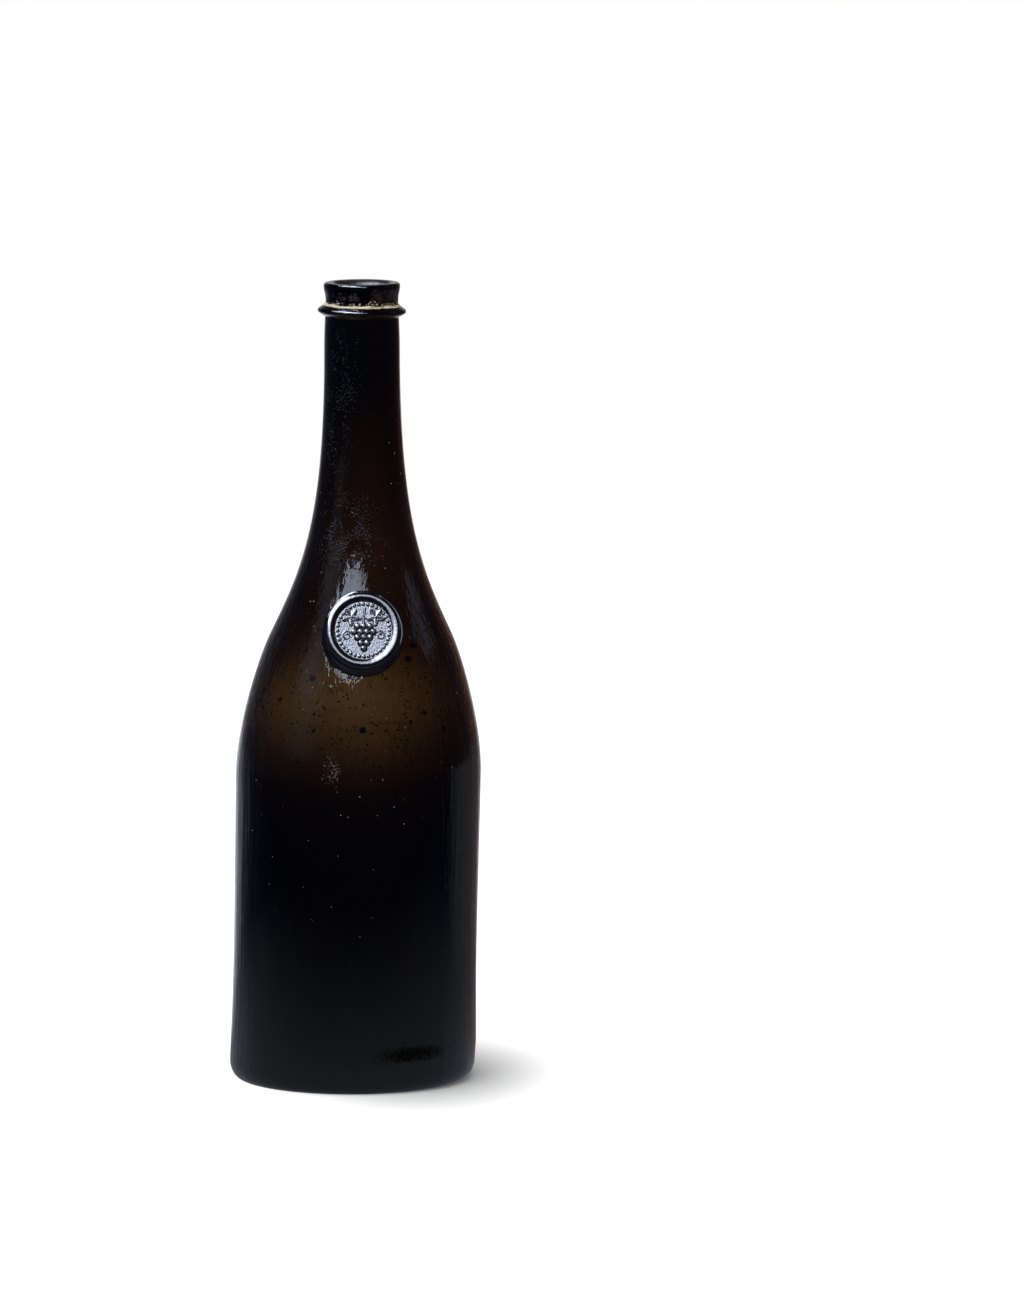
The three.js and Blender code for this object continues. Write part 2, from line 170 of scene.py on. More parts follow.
def rows_of(points, inside_from=math.inf):
    """An object whose points are the rows of an outline, each with the numbers that shape its ring."""
    mesh = bpy.data.meshes.new("rows")
    mesh.from_pydata([(r * MM, 0, z * MM) for r, z in points], [], [])
    z = points[:, 1]
    inside = np.where(np.arange(len(points)) < inside_from, 0.0, 1.0)
    heel = (1 - inside) * smoothstep(38, 44, points[:, 0])
    shoulder_cavity = inside * smoothstep(90, 130, z) * (1 - smoothstep(160, 200, z))
    numbers = {
        "lean": (lean_at(z) - INNER_OFFSET * shoulder_cavity) * MM,
        "left": HEEL_LEFT * heel * (1 - smoothstep(0, 13, z)) * MM,
        "right": HEEL_RIGHT * heel * (1 - smoothstep(4, 16, z)) * MM,
        "narrow": -SIDE_THICKER * shoulder_cavity * MM,
        "inside": inside,
    }
    for name, values in numbers.items():
        mesh.attributes.new(name, "FLOAT", "POINT").data.foreach_set("value", values.astype(np.float32))
    return placed("rows", mesh)


bottle_rows = rows_of(outline, inner_start)
print("Lean at the lip:", round(float(lean_at(300)), 2), "mm")

# %% [markdown]
# ## One small helper for nodes
# Shaders and Geometry Nodes are both trees. This function adds any node, sets it, and feeds each input
# with a number, a colour or the socket of another node. Two kinds are mostly fed by place: a Map Range
# takes its value, then the range it comes from and the range it goes to, and a Mix of colours takes its
# share at place 0 and its two colours at places 6 and 7, and gives the result at place 2.

# %% Add a node
def node(tree, kind, inputs=(), **settings):
    """Adds a node. Inputs go by name or place; one that is a node is fed by that node's first output."""
    made = tree.nodes.new(kind)
    for name, value in settings.items():
        setattr(made, name, value)
    for key, value in inputs.items() if isinstance(inputs, dict) else enumerate(inputs):
        if isinstance(value, bpy.types.Node):
            value = value.outputs[0]
        if isinstance(value, bpy.types.NodeSocket):
            tree.links.new(value, made.inputs[key])
        else:
            made.inputs[key].default_value = value
    return made


# %% [markdown]
# ## Turning an outline
# A Screw or Spin would turn the outline too, but Geometry Nodes also let every ring be pushed about while
# it is made. The tree lays out a grid with one row for each outline point, wraps it round the axis,
# shifts each ring by its own numbers and lets a slow noise move the skin in and out, as a gather of glass
# is never even. The noise differs between the outside and the inside, so the thickness, and with it the
# colour, varies as it does in old glass. The waves fade out within 6 mm of Z = 0 and near the top of the
# lip, so that both ends stay flat.

# %% Start a Geometry Nodes tree with named inputs
def new_tree(name, inputs):
    """A tree that takes and gives geometry, with its named inputs, and the sockets of those inputs."""
    tree = bpy.data.node_groups.new(name, "GeometryNodeTree")
    for title, kind in {"Geometry": "Geometry", **inputs}.items():
        tree.interface.new_socket(title, in_out="INPUT", socket_type="NodeSocket" + kind)
    tree.interface.new_socket("Geometry", in_out="OUTPUT", socket_type="NodeSocketGeometry")
    return tree, node(tree, "NodeGroupInput").outputs


turned, given = new_tree("turned skin", {
    "Steps Round": "Int", "Waviness": "Float", "Inner Waviness": "Float", "Middle": "Float",
    "Wave Length": "Float", "Along": "Float", "Seed": "Float", "Material": "Material",
})

# %% Wrap the rows of an outline round the axis
count = node(turned, "GeometryNodeAttributeDomainSize", {"Geometry": given["Geometry"]})
columns = node(turned, "ShaderNodeMath", [given["Steps Round"], 1], operation="ADD")
grid = node(turned, "GeometryNodeMeshGrid", {"Vertices X": count, "Vertices Y": columns})
index = node(turned, "GeometryNodeInputIndex")
nudged = node(turned, "ShaderNodeMath", [index, 0.5], operation="ADD")
rows_passed = node(turned, "ShaderNodeMath", [nudged, columns], operation="DIVIDE")
row = node(turned, "ShaderNodeMath", [rows_passed], operation="FLOOR")
first = node(turned, "ShaderNodeMath", [row, columns], operation="MULTIPLY")
column = node(turned, "ShaderNodeMath", [index, first], operation="SUBTRACT")
turn = node(turned, "ShaderNodeMath", [column, given["Steps Round"]], operation="DIVIDE")
angle = node(turned, "ShaderNodeMath", [turn, math.tau], operation="MULTIPLY")


def on_row(name):
    """A number of the outline row that a point of the grid belongs to."""
    stored = node(turned, "GeometryNodeInputNamedAttribute", {"Name": name}, data_type="FLOAT")
    return node(turned, "GeometryNodeSampleIndex", {
        "Geometry": given["Geometry"], "Value": stored, "Index": row,
    })


place = node(turned, "GeometryNodeInputPosition")
sampled = node(turned, "GeometryNodeSampleIndex", {
    "Geometry": given["Geometry"], "Value": place, "Index": row,
}, data_type="FLOAT_VECTOR")
cosine = node(turned, "ShaderNodeMath", [angle], operation="COSINE")
squarer = node(turned, "ShaderNodeMapRange", {
    "Value": cosine, "From Min": -1, "From Max": 0, "To Min": on_row("left"), "To Max": 0,
})
fuller = node(turned, "ShaderNodeMapRange", {"Value": cosine, "To Max": on_row("right")})
heel = node(turned, "ShaderNodeMath", [squarer, fuller], operation="ADD")
sideways = node(turned, "ShaderNodeMath", [cosine, cosine], operation="MULTIPLY")
heel = node(turned, "ShaderNodeMath", [sideways, on_row("narrow"), heel], operation="MULTIPLY_ADD")
heel_shift = node(turned, "ShaderNodeCombineXYZ", {"X": heel})
moved = node(turned, "ShaderNodeVectorMath", [sampled, heel_shift], operation="ADD")
swung = node(turned, "ShaderNodeVectorRotate", {"Vector": moved, "Angle": angle}, rotation_type="Z_AXIS")
lean_shift = node(turned, "ShaderNodeCombineXYZ", {"X": on_row("lean")})
leaning = node(turned, "ShaderNodeVectorMath", [swung, lean_shift], operation="ADD")
wrapped = node(turned, "GeometryNodeSetPosition", {"Geometry": grid, "Position": leaning})
sided = node(turned, "GeometryNodeStoreNamedAttribute", {
    "Geometry": wrapped, "Name": "inside", "Value": on_row("inside"),
}, data_type="FLOAT", domain="POINT")
outwards = node(turned, "GeometryNodeFlipFaces", {"Mesh": sided})
closed = node(turned, "GeometryNodeMergeByDistance", {"Geometry": outwards, "Distance": 2e-6})

# %% Let a slow noise push the skin in and out, and finish the tree
side = node(turned, "GeometryNodeInputNamedAttribute", {"Name": "inside"}, data_type="FLOAT")
other = node(turned, "ShaderNodeMath", [side, 7, given["Seed"]], operation="MULTIPLY_ADD")
spread = node(turned, "ShaderNodeCombineXYZ", {"X": 1, "Y": 1, "Z": given["Along"]})
slowed = node(turned, "ShaderNodeVectorMath", [place, spread], operation="MULTIPLY")
wave = node(turned, "ShaderNodeTexNoise", {
    "Vector": slowed, "Scale": node(turned, "ShaderNodeMath", [1, given["Wave Length"]], operation="DIVIDE"),
    "Detail": 2.0, "Roughness": 0.4, "W": other,
}, noise_dimensions="4D")
up = node(turned, "ShaderNodeSeparateXYZ", {"Vector": place}).outputs["Z"]
off_zero = node(turned, "ShaderNodeMath", [up], operation="ABSOLUTE")
off_floor = node(turned, "ShaderNodeMapRange", [off_zero, 0.0003, 0.006])
below_lip = node(turned, "ShaderNodeMapRange", [up, 0.288, 0.2985, 1, 0])
depth = node(turned, "ShaderNodeMapRange", {
    "Value": side, "To Min": given["Waviness"], "To Max": given["Inner Waviness"],
})
middle = node(turned, "ShaderNodeMapRange", {"Value": side, "To Min": given["Middle"], "To Max": 0.5})
about = node(turned, "ShaderNodeMath", [wave, middle], operation="SUBTRACT")
deep = node(turned, "ShaderNodeMath", [about, depth], operation="MULTIPLY")
above_floor = node(turned, "ShaderNodeMath", [deep, off_floor], operation="MULTIPLY")
masked = node(turned, "ShaderNodeMath", [above_floor, below_lip], operation="MULTIPLY")
inwards = node(turned, "ShaderNodeMath", [masked, -1], operation="MULTIPLY")
normal = node(turned, "GeometryNodeInputNormal")
push = node(turned, "ShaderNodeVectorMath", {0: normal, "Scale": inwards}, operation="SCALE")
waved = node(turned, "GeometryNodeSetPosition", {"Geometry": closed, "Offset": push})
smooth = node(turned, "GeometryNodeSetShadeSmooth", {"Geometry": waved})
real = node(turned, "GeometryNodeRealizeInstances", {"Geometry": smooth})
finished = node(turned, "GeometryNodeSetMaterial", {"Geometry": real, "Material": given["Material"]})
node(turned, "NodeGroupOutput", {"Geometry": finished})
print("Turning tree:", len(turned.nodes), "nodes")

# %% [markdown]
# ## Turning it into a plain mesh
# A modifier's inputs are set before the object is first evaluated. The evaluated result is then copied as
# a plain mesh, so that nothing depends on the tree later, and the rows that carried it go.

# %% Run a tree on an object and keep the result
def made_by(tree, carrier, name, values, keep_carrier=False):
    """Runs a Geometry Nodes tree on the carrier and returns the result as an object of its own."""
    modifier = carrier.modifiers.new(name, "NODES")
    modifier.node_group = tree
    for socket in tree.interface.items_tree:
        if socket.in_out == "INPUT" and socket.name in values:
            modifier[socket.identifier] = values[socket.name]
    depsgraph = bpy.context.evaluated_depsgraph_get()
    mesh = bpy.data.meshes.new_from_object(carrier.evaluated_get(depsgraph), depsgraph=depsgraph)
    carrier.modifiers.remove(modifier)
    if not keep_carrier:
        bpy.data.objects.remove(carrier)
    mesh.name = name
    return placed(name, mesh)


def volume_of(piece):
    """Signed volume in cubic centimetres: positive where the faces point outwards."""
    mesh = piece.data
    mesh.calc_loop_triangles()
    co = np.empty(len(mesh.vertices) * 3)
    mesh.vertices.foreach_get("co", co)
    tri = np.empty(len(mesh.loop_triangles) * 3, int)
    mesh.loop_triangles.foreach_get("vertices", tri)
    a, b, c = co.reshape(-1, 3)[tri.reshape(-1, 3)].transpose(1, 0, 2)
    return float(np.einsum("ij,ij->i", a, np.cross(b, c)).sum() / 6 * 1e6)


def face_outwards(piece):
    if volume_of(piece) < 0:
        piece.data.flip_normals()
    print(piece.name, len(piece.data.loop_triangles), "triangles,", round(volume_of(piece), 3), "cm3")
    return piece


# %% [markdown]
# ## Black glass
# So-called black glass is a very dark olive-brown bottle glass, coloured by iron and soot in the melt. It
# is clear, not painted: light is absorbed along its way through the wall. So the shader is a Principled
# BSDF that transmits everything, with an IOR of 1.52 as soda glass has, and the colour is a Volume
# Absorption inside the closed mesh. Red is absorbed least, so thin glass glows brown. The skin was shaped
# while soft against wet wood, which left long faint ripples up the body, and three centuries of handling
# left haze, pits and fine scratches.

# %% Colours and the glass finish
GLASS_IOR = 1.52


def srgb(hex_code):
    """A colour written as sRGB hex, as the linear RGBA that nodes take."""
    parts = [int(hex_code[i:i + 2], 16) / 255 for i in (1, 3, 5)]
    return (*[c / 12.92 if c <= 0.04045 else ((c + 0.055) / 1.055) ** 2.4 for c in parts], 1)


def new_material(name):
    material = bpy.data.materials.new(name)
    material.use_nodes = True
    material.node_tree.nodes.clear()
    return material, material.node_tree


def grain(tree, period_mm, stretch=(1, 1, 1), detail=3.0, roughness=0.5, seed=0.0):
    """Noise on Object coordinates: features about period_mm apart, drawn out where stretch is small."""
    place = node(tree, "ShaderNodeTexCoord").outputs["Object"]
    moved = node(tree, "ShaderNodeMapping", {
        "Vector": place, "Scale": stretch, "Location": (seed, seed, seed),
    })
    return node(tree, "ShaderNodeTexNoise", {
        "Vector": moved, "Scale": 1000 / period_mm, "Detail": detail, "Roughness": roughness,
    })


MELT_COLOUR, MELT_DENSITY = srgb("#C4B490"), 1400


def glass(name, ripple=1.0, haze=1.0):
    """Clear glass that absorbs light on its way through, with ripples and old haze on its skin."""
    material, tree = new_material(name)
    # Long ripples 9 mm apart, fine ones 1.4 mm apart, and pits, each with its depth in metres.
    layers = [
        (grain(tree, 9, (1, 1, 0.12), detail=2.0), 0.0003 * ripple),
        (grain(tree, 1.4, (1, 1, 0.03), detail=2.0, seed=3.0), 0.0002 * ripple),
        (grain(tree, 1.1, detail=4.0, seed=5.0), 0.000006),
    ]
    skin = {}
    for height, distance in layers:
        skin = {"Normal": node(tree, "ShaderNodeBump", {"Height": height, "Distance": distance, **skin})}
    smudges = grain(tree, 16, (1, 1, 0.6), detail=6.0, roughness=0.65, seed=11.0)
    worn = node(tree, "ShaderNodeMapRange", [smudges, 0.42, 0.72, 0.015, 0.015 + 0.11 * haze])
    surface = node(tree, "ShaderNodeBsdfPrincipled", {
        "Base Color": (1, 1, 1, 1), "Roughness": worn, "IOR": GLASS_IOR, "Transmission Weight": 1.0, **skin,
    })
    inside = node(tree, "ShaderNodeVolumeAbsorption", {"Color": MELT_COLOUR, "Density": MELT_DENSITY})
    node(tree, "ShaderNodeOutputMaterial", {"Surface": surface, "Volume": inside})
    return material


black_glass = glass("black glass")
print("Glass finish:", len(black_glass.node_tree.nodes), "nodes")

# %% [markdown]
# ## The blown vessel
# The rows are turned with 256 steps, so each facet is about a millimetre wide. The outside is nearly
# true, because it was rolled and turned against wet wood. The inside was touched by nothing but air, so
# it waves far more. The outside only dips, so it never grows past its true size, and the ring that the
# bottle stands on stays flat.

# %% Blow the bottle
bottle = face_outwards(made_by(turned, bottle_rows, "blown_bottle", {
    "Steps Round": 256, "Waviness": 0.00015, "Inner Waviness": 0.0014, "Middle": 0.15, "Wave Length": 0.05,
    "Along": 0.45, "Seed": 2.0, "Material": black_glass,
}))

# %% [markdown]
# ## Finding the glass surface
# What was applied to the bottle has to sit on it. These helpers give the radius of the outside at a
# height, the place of a point that is given in the seal's own frame, and how far under such a point the
# glass lies, found by halving an interval until it is exact.

# %% Where the outside of the glass is
SIDE = outer_wall[HEEL_STEPS:-LIP_STEPS]


def outer_radius(z):
    return np.interp(z, SIDE[:, 1], SIDE[:, 0])


# Height of the seal, its turn to the right and the radius of the gather.
SEAL_HEIGHT, SEAL_TURN, GATHER = 172.5, math.radians(1.5), 14.15
slope = (outer_radius(SEAL_HEIGHT - GATHER) - outer_radius(SEAL_HEIGHT + GATHER)) / (2 * GATHER)
front = np.array([math.sin(SEAL_TURN), -math.cos(SEAL_TURN), 0])
seal_across = np.array([math.cos(SEAL_TURN), math.sin(SEAL_TURN), 0])
seal_out = front + np.array([0, 0, slope])
seal_out /= np.linalg.norm(seal_out)
seal_up = np.cross(seal_out, seal_across)
seal_seat = front * outer_radius(SEAL_HEIGHT) + np.array([float(lean_at(SEAL_HEIGHT)), 0, SEAL_HEIGHT])


def from_seal(x, y, h):
    """Points of the seal's own frame (across, up, out of it) in the bottle's frame, in mm."""
    return seal_seat + x[..., None] * seal_across + y[..., None] * seal_up + h[..., None] * seal_out


def glass_under(x, y):
    """How far out of the seal's seat the glass surface is under a point. Negative where it curves away."""
    low, high = np.full_like(x, -16.0), np.full_like(x, 6.0)
    for _ in range(30):
        middle = (low + high) / 2
        p = from_seal(x, y, middle)
        outside = np.hypot(p[..., 0] - lean_at(p[..., 2]), p[..., 1]) > outer_radius(p[..., 2])
        low, high = np.where(outside, low, middle), np.where(outside, middle, high)
    return (low + high) / 2


print("The seal leans back by", round(math.degrees(math.atan(slope)), 1), "degrees")

# %% [markdown]
# ## The stamped seal
# A hot gather was dropped on the shoulder and pressed with a round die. The die left a raised rim, a dark
# gutter inside it and a sunk field in relief. The relief is a vine: a bunch of grapes under two leaves
# with their veins, two curling tendrils and a ring of beads. A boolean of many small solids would be slow
# and full of slivers, so the stamped face is one skin of heights, worked out at every point of a fine
# round grid, as the die itself was cut.

# %% Heights of the relief
def bump(distance, radius, height):
    """A round boss: its height at a distance from its middle."""
    return height * np.sqrt(np.clip(1 - (distance / radius) ** 2, 0, None))


def vine_leaf(x, y, cx, cy, turn, size):
    dx, dy = x - cx, y - cy
    d, a = np.hypot(dx, dy), np.arctan2(dy, dx) - turn
    edge = size * (0.76 + 0.24 * np.cos(5 * a)) * (1 + 0.05 * np.cos(35 * a))
    blade = 0.5 * smoothstep(0, 0.35, edge - d) * (1 + 0.25 * np.cos(5 * a) * d / size)
    off_vein = d * np.abs(np.sin((np.mod(a + math.pi / 5, math.tau / 5) - math.pi / 5)))
    vein = 0.28 * np.exp(-((off_vein / 0.16) ** 2)) * (d < edge)
    return blade + vein


def near_line(x, y, line, width, height):
    """A raised line: its height near a chain of points."""
    best = np.full_like(x, 1e9)
    for (ax, ay), (bx, by) in zip(line[:-1], line[1:]):
        t = np.clip(((x - ax) * (bx - ax) + (y - ay) * (by - ay)) / ((bx - ax) ** 2 + (by - ay) ** 2), 0, 1)
        best = np.minimum(best, np.hypot(x - ax - t * (bx - ax), y - ay - t * (by - ay)))
    return bump(best, width / 2, height)


GRAPE_ROWS, GRAPE_STEP, BUNCH_TOP, GRAPE_RADIUS, GRAPE_HEIGHT = (3, 4, 3, 2, 1), 2.36, 1.5, 1.25, 1.1
BEADS, BEAD_RING, BEAD_RADIUS, BEAD_HEIGHT = 36, 9.65, 0.6, 0.5
LEAF_X, LEAF_Y, LEAF_SIZE, LEAF_TURN = 4.6, 4.9, 3.5, math.radians(35)
grapes = [
    ((i - (n - 1) / 2) * GRAPE_STEP, BUNCH_TOP - 0.86 * GRAPE_STEP * row_no)
    for row_no, n in enumerate(GRAPE_ROWS) for i in range(n)
]
beads = [(BEAD_RING * math.cos(a), BEAD_RING * math.sin(a)) for a in np.arange(BEADS) * math.tau / BEADS]
curl = np.linspace(0, 1, 36)


def tendril(side):
    """A tendril that leaves the stalk and curls up beside the bunch."""
    a, r = math.pi * (0.15 + 2.6 * curl), 1.8 * (1 - 0.72 * curl)
    return [(side * (6.2 - r_ * math.cos(a_)), -1.9 + r_ * math.sin(a_)) for a_, r_ in zip(a, r)]


def relief(x, y):
    """Height of the vine over the field: at every point the highest of its forms."""
    h = np.zeros_like(x)
    for gx, gy in grapes:
        h = np.maximum(h, bump(np.hypot(x - gx, y - gy), GRAPE_RADIUS, GRAPE_HEIGHT))
    for side in (-1, 1):
        leaf_turn = side * LEAF_TURN + math.pi / 2
        h = np.maximum(h, vine_leaf(x, y, side * LEAF_X, LEAF_Y, leaf_turn, LEAF_SIZE))
        h = np.maximum(h, near_line(x, y, [(side * LEAF_X, LEAF_Y), (side * 2.1, 4.1), (0.2, 4.6)], 0.5, 0.5))
        h = np.maximum(h, near_line(x, y, [(side * 3.2, 1.8), *tendril(side)], 0.46, 0.4))
    h = np.maximum(h, near_line(x, y, [(0, 1.3), (0.1, 4.2), (0.5, 7.9)], 0.9, 0.7))
    for bx, by in beads:
        h = np.maximum(h, bump(np.hypot(x - bx, y - by), BEAD_RADIUS, BEAD_HEIGHT))
    return h


print("Relief:", len(grapes), "grapes, two leaves, two tendrils and", len(beads), "beads")

# %% [markdown]
# The gather is wider than the die, and the die struck a little above its middle, so a ledge shows below
# the rim. Round the edge the glass rolls over, runs down to the shoulder and spreads in a small fillet,
# because it was laid on hot. The raised rim slopes gently inwards on the right and steeply on the left,
# as the die came down a little askew. The grid is polar about the middle of the die, so that the raised
# rim stays crisp.

# %% Shape the seal
# Radii from the field out to the foot of the raised rim, then heights over the seat.
FIELD, CREST, RIM_EDGE, RIM_FOOT = 10.7, 12.5, 13.7, 14.2
FLOOR, TOP, RIM_TOP = 1.9, 2.1, 3.0
# How strongly the rim falls away from its crest, how that swings round it, and how far the die leans.
INNER_BOW, OUTER_BOW, BOW_SWING, DIE_LEAN = 0.2, 0.32, 0.12, 0.035
# How far right of and above the gather's middle the die struck, and how much taller than wide the seal is.
STRIKE_X, STRIKE_Y, STRETCH = 0.5, 1.2, 1.06
AROUND = 400
theta = np.arange(AROUND) * math.tau / AROUND
uneven = np.array([noise.noise(Vector((1.3 * math.cos(a), 1.3 * math.sin(a), 0.4))) for a in theta])
toward = -STRIKE_X * np.cos(theta) - STRIKE_Y * np.sin(theta)
across_part = -STRIKE_X * np.sin(theta) + STRIKE_Y * np.cos(theta)
gather_edge = toward + np.sqrt((GATHER + 0.4 * uneven) ** 2 - across_part**2)
seal_edge = np.maximum(gather_edge, RIM_FOOT + 0.35) - 0.15


def pressed(r, a):
    """Height of the stamped face over the seat, before the relief."""
    x, y = r * np.cos(a), r * np.sin(a)
    from_middle = np.hypot(x + STRIKE_X, y + STRIKE_Y)
    gather = TOP * np.sqrt(np.clip(1 - np.clip((from_middle - GATHER + 2.8) / 3.1, 0, 1) ** 2.4, 0.02, 1))
    swing = BOW_SWING * np.cos(a + 0.35)
    ridge = RIM_TOP - np.where(r < CREST, INNER_BOW - swing, OUTER_BOW + swing) * (r - CREST) ** 2
    falling = np.sqrt(1 - np.clip((r - RIM_EDGE) / (RIM_FOOT - RIM_EDGE), 0, 1) ** 2)
    inside = FLOOR + (ridge - FLOOR) * smoothstep(FIELD - 0.1, FIELD + 0.25, r)
    return np.where(r < CREST, inside, np.maximum(ridge * falling, gather))


rings = np.concatenate([
    np.linspace(0.12, FIELD - 0.1, 84), np.linspace(FIELD - 0.1, CREST, 18)[1:],
    np.linspace(CREST, RIM_EDGE, 9)[1:], np.linspace(RIM_EDGE, RIM_FOOT, 9)[1:],
])
radii = np.repeat(rings[:, None], AROUND, axis=1)
ledge = np.linspace(0, 1, 9)[1:, None]
radii = np.vstack([radii, RIM_FOOT + (seal_edge - RIM_FOOT) * ledge])
angles = np.repeat(theta[None, :], len(radii), axis=0)
xs, ys = radii * np.cos(angles), radii * np.sin(angles)
spots = zip(xs.ravel(), ys.ravel())
roughcast = np.array([noise.noise(Vector((px * 2.1, py * 2.1, 3))) for px, py in spots])
in_field = 1 - smoothstep(FIELD - 0.3, FIELD, radii)
carved = relief(xs, ys)
slope_out = np.gradient(carved, axis=0) / np.gradient(radii, axis=0)
slope_round = np.gradient(carved, axis=1) / (radii * math.tau / AROUND)
# Where the relief is flat, the field gets a painted sheen, which stands for the softbox's reflection.
painted_sheen = in_field * (1 - smoothstep(0.3, 0.9, np.hypot(slope_out, slope_round)))
heights = pressed(radii, angles) - DIE_LEAN * ys + in_field * (carved + 0.05 * roughcast.reshape(xs.shape))
print("Stamped face:", heights.size, "points, up to", round(float(heights.max()), 1), "mm over its seat")

# %% Roll the edge down to the shoulder and close it underneath
IN_GLASS = 0.35
steps_down = np.array([0.06, 0.16, 0.3, 0.48, 0.68, 0.86])[:, None]
# How far out each ring of the fillet is, and how high over the glass. The last is under it.
fillet = np.array([(0.08, 0.4), (0.2, 0.2), (0.4, 0.08), (0.62, 0.02), (0.8, -0.25)])
spread = 1 + 0.6 * np.clip(-np.sin(theta), 0, 1)
x_edge, y_edge = radii[-1] * np.cos(theta), radii[-1] * np.sin(theta)
foot = glass_under(x_edge, y_edge * STRETCH) + 0.7
roll_r = radii[-1] + 0.28 * np.sin(steps_down * math.pi * 0.85)
roll_h = heights[-1] + (foot - heights[-1]) * steps_down
flare_r = radii[-1] + 0.1 + fillet[:, :1] * spread
flare_x, flare_y = flare_r * np.cos(theta), flare_r * np.sin(theta)
flare_h = glass_under(flare_x, flare_y * STRETCH) + fillet[:, 1:]
under_r = flare_r[-1] * np.linspace(0.93, 0.03, 9)[:, None]
under_h = glass_under(under_r * np.cos(theta), under_r * np.sin(theta) * STRETCH) - IN_GLASS
all_r = np.vstack([radii, roll_r, flare_r, under_r])
all_h = np.vstack([heights, roll_h, flare_h, under_h])
seal_points = from_seal(all_r * np.cos(theta), all_r * np.sin(theta) * STRETCH, all_h).reshape(-1, 3)
zero = np.zeros(1)
top_middle = from_seal(zero, zero, zero + FLOOR + GRAPE_HEIGHT)
low_middle = from_seal(zero, zero, glass_under(zero, zero) - IN_GLASS)
verts = np.vstack([seal_points, top_middle, low_middle]) * MM
n_rows = len(all_r)
pairs = [(j, (j + 1) % AROUND) for j in range(AROUND)]
starts = [i * AROUND for i in range(n_rows)]
faces = [(a + j, b + j, b + k, a + k) for a, b in zip(starts[:-1], starts[1:]) for j, k in pairs]
faces += [(n_rows * AROUND, j, k) for j, k in pairs]
faces += [(n_rows * AROUND + 1, starts[-1] + k, starts[-1] + j) for j, k in pairs]
mesh = bpy.data.meshes.new("stamped_seal")
mesh.from_pydata(verts.tolist(), [], faces)
mesh.polygons.foreach_set("use_smooth", [True] * len(mesh.polygons))
painted_sheen_values = np.zeros(len(verts), np.float32)
painted_sheen_values[:painted_sheen.size] = painted_sheen.ravel()
mesh.attributes.new("painted_sheen", "FLOAT", "POINT").data.foreach_set("value", painted_sheen_values)
seal = face_outwards(placed("stamped_seal", mesh))

# %% [markdown]
# The seal is the same glass, but several millimetres thick and backed by the bottle, so no light comes
# through it and it is given as a dark dielectric. The die was dull and the hot glass kept its grain: the
# field is satin with a fine grit, while the rim that no die touched is polished. Where the relief is flat,
# the field is painted grey with pale spots finer than half a millimetre. This is a painted sheen and painted
# sparkle for the softbox's reflection. The steep sides of the relief stay black, which is what draws it.

# %% Finish of the seal
def distance_from_die(tree):
    """Distance of a point from the middle of the die, in the plane of the seal, in metres."""
    here = node(tree, "ShaderNodeTexCoord").outputs["Object"]
    off = node(tree, "ShaderNodeVectorMath", [here, tuple(seal_seat * MM)], operation="SUBTRACT")
    parts = {}
    for name, direction in (("X", seal_across), ("Y", seal_up / STRETCH)):
        along_it = node(tree, "ShaderNodeVectorMath", [off, tuple(direction)], operation="DOT_PRODUCT")
        parts[name] = along_it.outputs["Value"]
    flat = node(tree, "ShaderNodeCombineXYZ", parts)
    return node(tree, "ShaderNodeVectorMath", [flat], operation="LENGTH").outputs["Value"]


seal_glass, tree = new_material("stamped black glass")
die_edge, die_inside = (FIELD + 0.1) * MM, (FIELD - 0.3) * MM
in_die = node(tree, "ShaderNodeMapRange", [distance_from_die(tree), die_edge, die_inside, 0, 1])
grit = node(tree, "ShaderNodeMath", [grain(tree, 0.34, roughness=0.6), in_die], operation="MULTIPLY")
pores = grain(tree, 1.2, detail=4.0, seed=2.0)
rough_skin = node(tree, "ShaderNodeBump", {"Height": grit, "Distance": 0.00005})
rough_skin = node(tree, "ShaderNodeBump", {"Height": pores, "Distance": 0.00006, "Normal": rough_skin})
satin = node(tree, "ShaderNodeMapRange", [in_die, 0, 1, 0.03, 0.13])
tint = node(tree, "ShaderNodeMix", {
    0: pores, 6: srgb("#070708"), 7: srgb("#0E0D0B"),
}, data_type="RGBA").outputs[2]
# Painted sheen and painted sparkle: grey with pale spots where the relief is flat.
painted_sparkle = node(tree, "ShaderNodeMapRange", [grain(tree, 0.5, detail=4.0, seed=6.0), 0.38, 0.62])
painted_sheen_colour = node(tree, "ShaderNodeMix", {
    0: painted_sparkle, 6: srgb("#1E2024"), 7: srgb("#6C7078"),
}, data_type="RGBA").outputs[2]
painted_sheen_share = node(tree, "ShaderNodeAttribute", attribute_name="painted_sheen").outputs["Fac"]
tint = node(tree, "ShaderNodeMix", {0: painted_sheen_share, 6: tint, 7: painted_sheen_colour}, data_type="RGBA").outputs[2]
shader = node(tree, "ShaderNodeBsdfPrincipled", {
    "Base Color": tint, "Roughness": satin, "IOR": GLASS_IOR, "Specular IOR Level": 1.0, "Normal": rough_skin,
})
node(tree, "ShaderNodeOutputMaterial", {"Surface": shader})
seal.data.materials.append(seal_glass)
print("Seal finish:", len(tree.nodes), "nodes")

# %% [markdown]
# ## The string rim
# A second gatherer laid a trail of glass round the neck under the lip, for the string that held the cork.
# It is turned by the same tree as the bottle, but shorter waves make it uneven by hand, and it sits a
# little crooked. It is made round Z = 0, where the tree keeps about a third of the waves at most, so they
# are written deeper.

